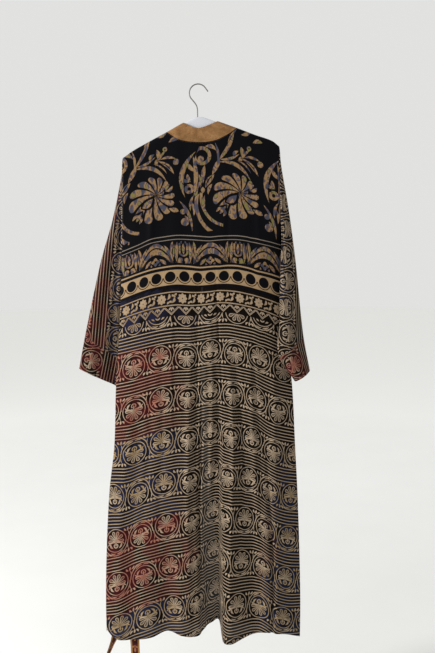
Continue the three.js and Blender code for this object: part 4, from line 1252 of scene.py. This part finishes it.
# Where on the printed cloth a sleeve and a cuff are cut: the row at the outer fold, the column at the top and
# how far the rows drift from the fold.
SLEEVE_PRINT = {"left": (883.0, -140.0, 0.119), "right": (932.0, 640.0, 0.16)}
CUFF_PRINT = {"left": (781.0, -144.8, 0.0), "right": (736.9, -360.0, 0.0)}
SLEEVE_STEPS = 44  # points from the outer fold to the underarm edge
CUFF_HEM = {"round": 0.5, "thick": 1.1, "inner": 1.6, "depth": 14.0, "uv": (0, 0.7, 1.4, 15)}


def add_sleeve(side, silk):
    steps = SLEEVE_STEPS
    half_seam = SEAM / 2 / SLEEVE_LENGTH
    pieces = []
    for kind, places in (
        ("sleeve", spread((0, 0.05, 6), (0.05, CUFF_FROM - half_seam, 90))),
        ("cuff", spread((CUFF_FROM + half_seam, 1, 26))),
    ):
        points = np.stack([sleeve_ring(side, t, steps) for t in places])
        fold = points[:, 0]
        run = unit((fold[-1] - fold[0]) * [1, 0, 1])
        inward = np.array([-run[2], 0, run[0]]) * (1 if side == "left" else -1)
        leap = np.diff(points, axis=1)
        width = np.linalg.norm(leap - (leap @ run)[..., None] * run, axis=-1)
        width = np.concatenate([np.zeros((len(points), 1)), np.cumsum(width, axis=1)], axis=1)
        from_fold = np.where(np.arange(2 * steps + 1) <= steps, width, width[:, -1:] - width)
        from_fold = from_fold + ((fold - fold[0]) @ inward)[:, None]
        down = (points - fold[0]) @ run
        top_row, start, drift = (SLEEVE_PRINT if kind == "sleeve" else CUFF_PRINT)[side]
        uv = np.stack([start - down - drift * from_fold, top_row + from_fold - drift * down], -1)
        flip = side == "right"
        grids = [round_grid(points, uv, flip)]
        if kind == "cuff":
            turned = points[-1:]
            inward = unit(turned.mean(axis=1, keepdims=True) - turned)
            way = unit(points[-1:] - points[-2:-1])
            fold = turned + (way + inward) * CUFF_HEM["round"]
            top = turned + inward * CUFF_HEM["inner"] - way * CUFF_HEM["depth"]
            inner = np.concatenate([turned, fold, turned + inward * CUFF_HEM["thick"], top])
            inner_uv = np.concatenate([uv[-1:] - [back, 0] for back in CUFF_HEM["uv"]])
            grids.append(round_grid(inner, inner_uv, flip))
        piece = make_piece(f"{kind}_{side}_cloth", f"{kind}_{side}", grids, [silk])
        if kind == "cuff":
            weld(piece)
        pieces.append(piece)
    return pieces


def strip_section(half, thick):
    """A flat section with round edges: (across, out) pairs, closed."""
    r = thick / 2
    turn = np.linspace(-math.pi / 2, math.pi / 2, 7)
    right = [(half - r + r * math.cos(a), r * math.sin(a)) for a in turn]
    flat = [(half - r) * k / 3 for k in (2, 1, 0, -1, -2)]
    left = [(-x, -y) for x, y in right]
    return right + [(x, r) for x in flat] + left + [(-x, -r) for x in flat]


BELT_STEPS = 420
LOOP_STEPS = 40
LOOP_CUT = (-40.0, 800.0)  # where on the printed cloth a loop is cut


def add_belt(silk):
    table = [(i, *row) for i, row in enumerate(BELT)]
    out = np.array([0.0, 1.0, 0.0])

    def centre(s):
        x, z = along(table, s, 1), along(table, s, 2)
        on_z = np.maximum(z, FRONT_HEM["side"])
        y = SEAM / 2 + stand_off(x, on_z, "front", fine=False) + along(table, s, 4)
        return np.stack(np.broadcast_arrays(x, y, z), -1)

    rows = []
    for i in range(BELT_STEPS + 1):
        s = (len(table) - 1) * i / BELT_STEPS
        way = unit((centre(s + 0.01) - centre(s - 0.01)) * [1, 0, 1])
        turn = math.radians(float(along(table, s, 5)) + 5 * math.sin(s * 2.3))
        flat = np.cross(way, out)
        across = flat * math.cos(turn) + np.cross(way, flat) * math.sin(turn)
        facing = np.cross(across, way)
        half = min(BELT_WIDTH / 2, float(along(table, s, 3)))
        open_share = (half - BELT_GATHER["half"]) / (BELT_WIDTH / 2 - BELT_GATHER["half"])
        thick = lerp(BELT_GATHER["thick"], BELT_THICK, float(ramp(1.7 * open_share)))
        ring = []
        for a, b in strip_section(half, thick):
            gather = (1 - min(1, open_share * 1.4)) * 0.9 * math.sin(2.4 * a + s)
            curl = 0.9 * math.sin(a / 5 + s * 1.7) * min(1, open_share)
            ring.append(centre(s) + across * a + facing * (b + gather * (1 if b > 0 else 0.4) + curl))
        rows.append(ring + ring[:1])
    points = np.array(rows)
    section = strip_section(BELT_WIDTH / 2, BELT_THICK)
    across = np.array([a for a, _ in section + section[:1]])
    uv = table_uv(across, arc_length(points[:, :1], axis=0), points.shape[:2])
    grids = [round_grid(points, uv)]
    for end in (0, -1):
        ring = points[end]
        middle = ring.mean(axis=0)
        cap = np.stack([ring, middle + (ring - middle) * 0.02])
        grids.append(round_grid(cap, uv[[end, end]], end == 0))
    piece = make_piece("belt_strip", "belt", grids, [silk])
    weld(piece)
    return piece


def add_loop(name, silk):
    x, rise = LOOPS[name]
    rows = []
    for share in np.arange(LOOP_STEPS + 1) / LOOP_STEPS:
        z = LOOP["z"] + LOOP["height"] * (0.5 - share)
        centre = on_cloth(np.array(x), np.array(z), "front", fine=False)
        centre = centre + [0, SEAM + LOOP["thick"] / 2 + rise * math.sin(math.pi * share) ** 0.7, 0]
        ring = [centre + [a, b, 0] for a, b in strip_section(LOOP["width"] / 2, LOOP["thick"])]
        rows.append(ring + ring[:1])
    points = np.array(rows)
    uv = table_uv(arc_length(points), arc_length(points[:, :1], axis=0), points.shape[:2]) + LOOP_CUT
    return make_piece(f"{name}_strap", name, [round_grid(points, uv)], [silk])


STITCH = {"pitch": 3.6, "length": 2.4, "radius": 0.24, "lift": 0.1, "from_edge": 9.0, "from_seam": 2.2}
# Along a stitch: the place, and the share of the thread's radius there.
STITCH_RINGS = [(-0.5, 0.4), (-0.34, 1.0), (0.34, 1.0), (0.5, 0.4)]
STITCH_SIDES = 6


def add_stitches(name, lines, thread):
    """Running stitches along lines of points, as one object."""
    points, faces = [], []
    sides = STITCH_SIDES
    angle = np.arange(sides) * 2 * math.pi / sides
    for line in lines:
        run = arc_length(line[None])[0]
        for s in np.arange(STITCH["pitch"], run[-1] - STITCH["pitch"], STITCH["pitch"]):
            spot, ahead = (
                np.array([np.interp(at, run, line[:, k]) for k in range(3)]) for at in (s, s + 0.5)
            )
            way = unit(ahead - spot)
            flank = unit(np.cross(way, [0.0, 0.6, 0.8]))
            ring = np.cos(angle)[:, None] * flank + np.sin(angle)[:, None] * np.cross(way, flank)
            base = len(points)
            for share, full in STITCH_RINGS:
                points.extend(spot + way * share * STITCH["length"] + ring * full * STITCH["radius"])
            last = base + (len(STITCH_RINGS) - 1) * sides
            for first in range(base, last, sides):
                for m in range(sides):
                    a, b = first + m, first + (m + 1) % sides
                    faces.append((a, b, b + sides, a + sides))
            faces.append(tuple(range(base, base + sides))[::-1])
            faces.append(tuple(range(last, last + sides)))
    mesh = bpy.data.meshes.new(name)
    mesh.from_pydata((np.array(points) * MM).tolist(), [], faces)
    mesh.materials.append(thread)
    carry(name, mesh)


def sew():
    """Stitch lines: the hems, the neck band's seam, and each cuff's seam and hem."""
    thread = plain_material("thread_brown", srgb(70, 54, 40), 0.6, grain=30.0, smudge=0.5)
    lift, inset = STITCH["lift"], STITCH["from_seam"]
    u = np.linspace(-0.985, 0.985, 900)
    z = along(BACK_HEM, u) + STITCH["from_edge"]
    x = lerp(side_at(z, "left"), side_at(z, "right"), (u + 1) / 2)
    hems = [on_cloth(x, z, "back", lift)]
    seams = []
    for side, outward in (("left", -1), ("right", 1)):
        edge_x, edge_z = front_edge(side, spread((0.01, 1, 60), (1, 1.995, 400)))
        seams.append(on_cloth(edge_x + outward * inset, edge_z, "front", lift))
        share = np.linspace(0.02, 0.98, 300)
        z = lerp(FRONT_HEM["side"], FRONT_HEM["middle"], share) + STITCH["from_edge"]
        hems.append(on_cloth(lerp(side_at(z, side), edge_x[-1] + outward * inset, share), z, "front", lift))
    x = np.linspace(NECK["left"] + 2, NECK["right"] - 2, 300)
    seams.append(on_cloth(x, along(NECKLINE, x) - inset, "back", lift))
    cuffs = []
    for side in ("left", "right"):
        for t in (CUFF_FROM - inset / SLEEVE_LENGTH, 1 - STITCH["from_edge"] / SLEEVE_LENGTH):
            ring = sleeve_ring(side, t, 60)
            middle = ring.mean(axis=0)
            cuffs.append(ring + np.sign(ring - middle) * [0.0, lift + 0.05, 0.0])
    add_stitches("stitches_hem", hems, thread)
    add_stitches("stitches_neck", seams, thread)
    add_stitches("stitches_cuffs", cuffs, thread)


def tube(line, radius):
    """Rings round a line of points that lies in the X-Z plane."""
    flank = np.array([0.0, 1.0, 0.0])
    other = np.cross(unit(np.gradient(line, axis=0)), flank)
    angle = np.linspace(0, 2 * math.pi, 17)[None, :, None]
    return line[:, None] + radius[:, None, None] * (np.cos(angle) * flank + np.sin(angle) * other[:, None])


def add_hook(metal):
    middle = (0.0, HOOK_WIRE - HOOK_BEND)

    def on_bend(degrees, straight=0.0):
        a = math.radians(degrees)
        x = middle[0] + HOOK_BEND * math.cos(a) + straight * math.sin(a)
        z = middle[1] + HOOK_BEND * math.sin(a) - straight * math.cos(a)
        return (x, z)

    spots = [on_bend(HOOK_ARC["from"], s) for s in HOOK_TIP]
    spots += [on_bend(a) for a in range(HOOK_ARC["from"], HOOK_ARC["to"] + 1, HOOK_ARC["step"])]
    spots += HOOK_STEM
    foot = HOOK_STEM[-1][0]
    spots.append((foot, float(along(RIDGE, foot)) - HANGER_UNDER))
    spots = np.array(spots)
    s = np.concatenate([[0], np.cumsum(np.linalg.norm(np.diff(spots, axis=0), axis=1))])
    fine = np.linspace(0, s[-1], 160)
    x = along(list(zip(s, spots[:, 0])), fine)
    z = along(list(zip(s, spots[:, 1])), fine)
    line = np.stack([x, 0 * x, z], -1)
    # The wire's ends are round.
    radius = HOOK_WIRE * np.sqrt(np.clip(1 - (1 - np.clip(fine / HOOK_WIRE, 0, 1)) ** 2, 0.0004, 1))
    points = tube(line, radius)
    uv = table_uv(fine[:, None], arc_length(points), points.shape[:2])
    make_piece("hook_wire", "hook", [round_grid(points, uv)], [metal])


def add_hanger(plastic):
    x = np.linspace(HANGER_TIPS["left"], HANGER_TIPS["right"], 150)
    top = along(RIDGE, x) - HANGER_UNDER
    reach = max(-HANGER_TIPS["left"], HANGER_TIPS["right"])
    deep = lerp(HANGER_DEPTH["middle"], HANGER_DEPTH["tip"], ramp(1.1 * np.abs(x) / reach))
    from_tip = np.minimum(x - HANGER_TIPS["left"], HANGER_TIPS["right"] - x)
    full = np.sqrt(np.clip(1 - (1 - np.clip(from_tip / HANGER_TIP_ROUND, 0, 1)) ** 2, 0.01, 1))
    angle = np.linspace(0, 2 * math.pi, 41)
    side, rise = (np.sign(n) * np.abs(n) ** HANGER_BULGE for n in (np.cos(angle), np.sin(angle)))
    middle = (top - deep / 2)[:, None]
    z = middle + (deep / 2)[:, None] * rise * lerp(0.8, 1, full)[:, None]
    points = np.stack([np.broadcast_to(x[:, None], z.shape), full[:, None] * HANGER_HALF * side, z], -1)
    uv = table_uv(x[:, None], arc_length(points), z.shape)
    make_piece("hanger_body", "hanger_bar", [round_grid(points, uv)], [plastic])


def main():
    add_camera()
    add_stage()
    bpy.context.scene.view_settings.view_transform = "Standard"
    silks = [yoke_silk(), border_silk(), field_silk("silk_field", 1.0)]
    # The sleeves' lines at 0.8: painted shade over both sleeves and their cuffs.
    sleeve_silk = field_silk("silk_sleeve", 0.8)
    back = add_back(silks)
    for side in ("left", "right"):
        front = add_front(side, silks)
    band = add_neck_band(band_silk())
    for side in ("left", "right"):
        sleeve, cuff = add_sleeve(side, sleeve_silk)
    belt = add_belt(belt_silk())
    for name in LOOPS:
        loop = add_loop(name, silks[2])
    sew()
    add_hanger(plain_material("hanger_plastic", srgb(176, 178, 184), 0.42))
    add_hook(plain_material("hook_steel", srgb(112, 110, 107), 0.55, metal=1.0))


main()
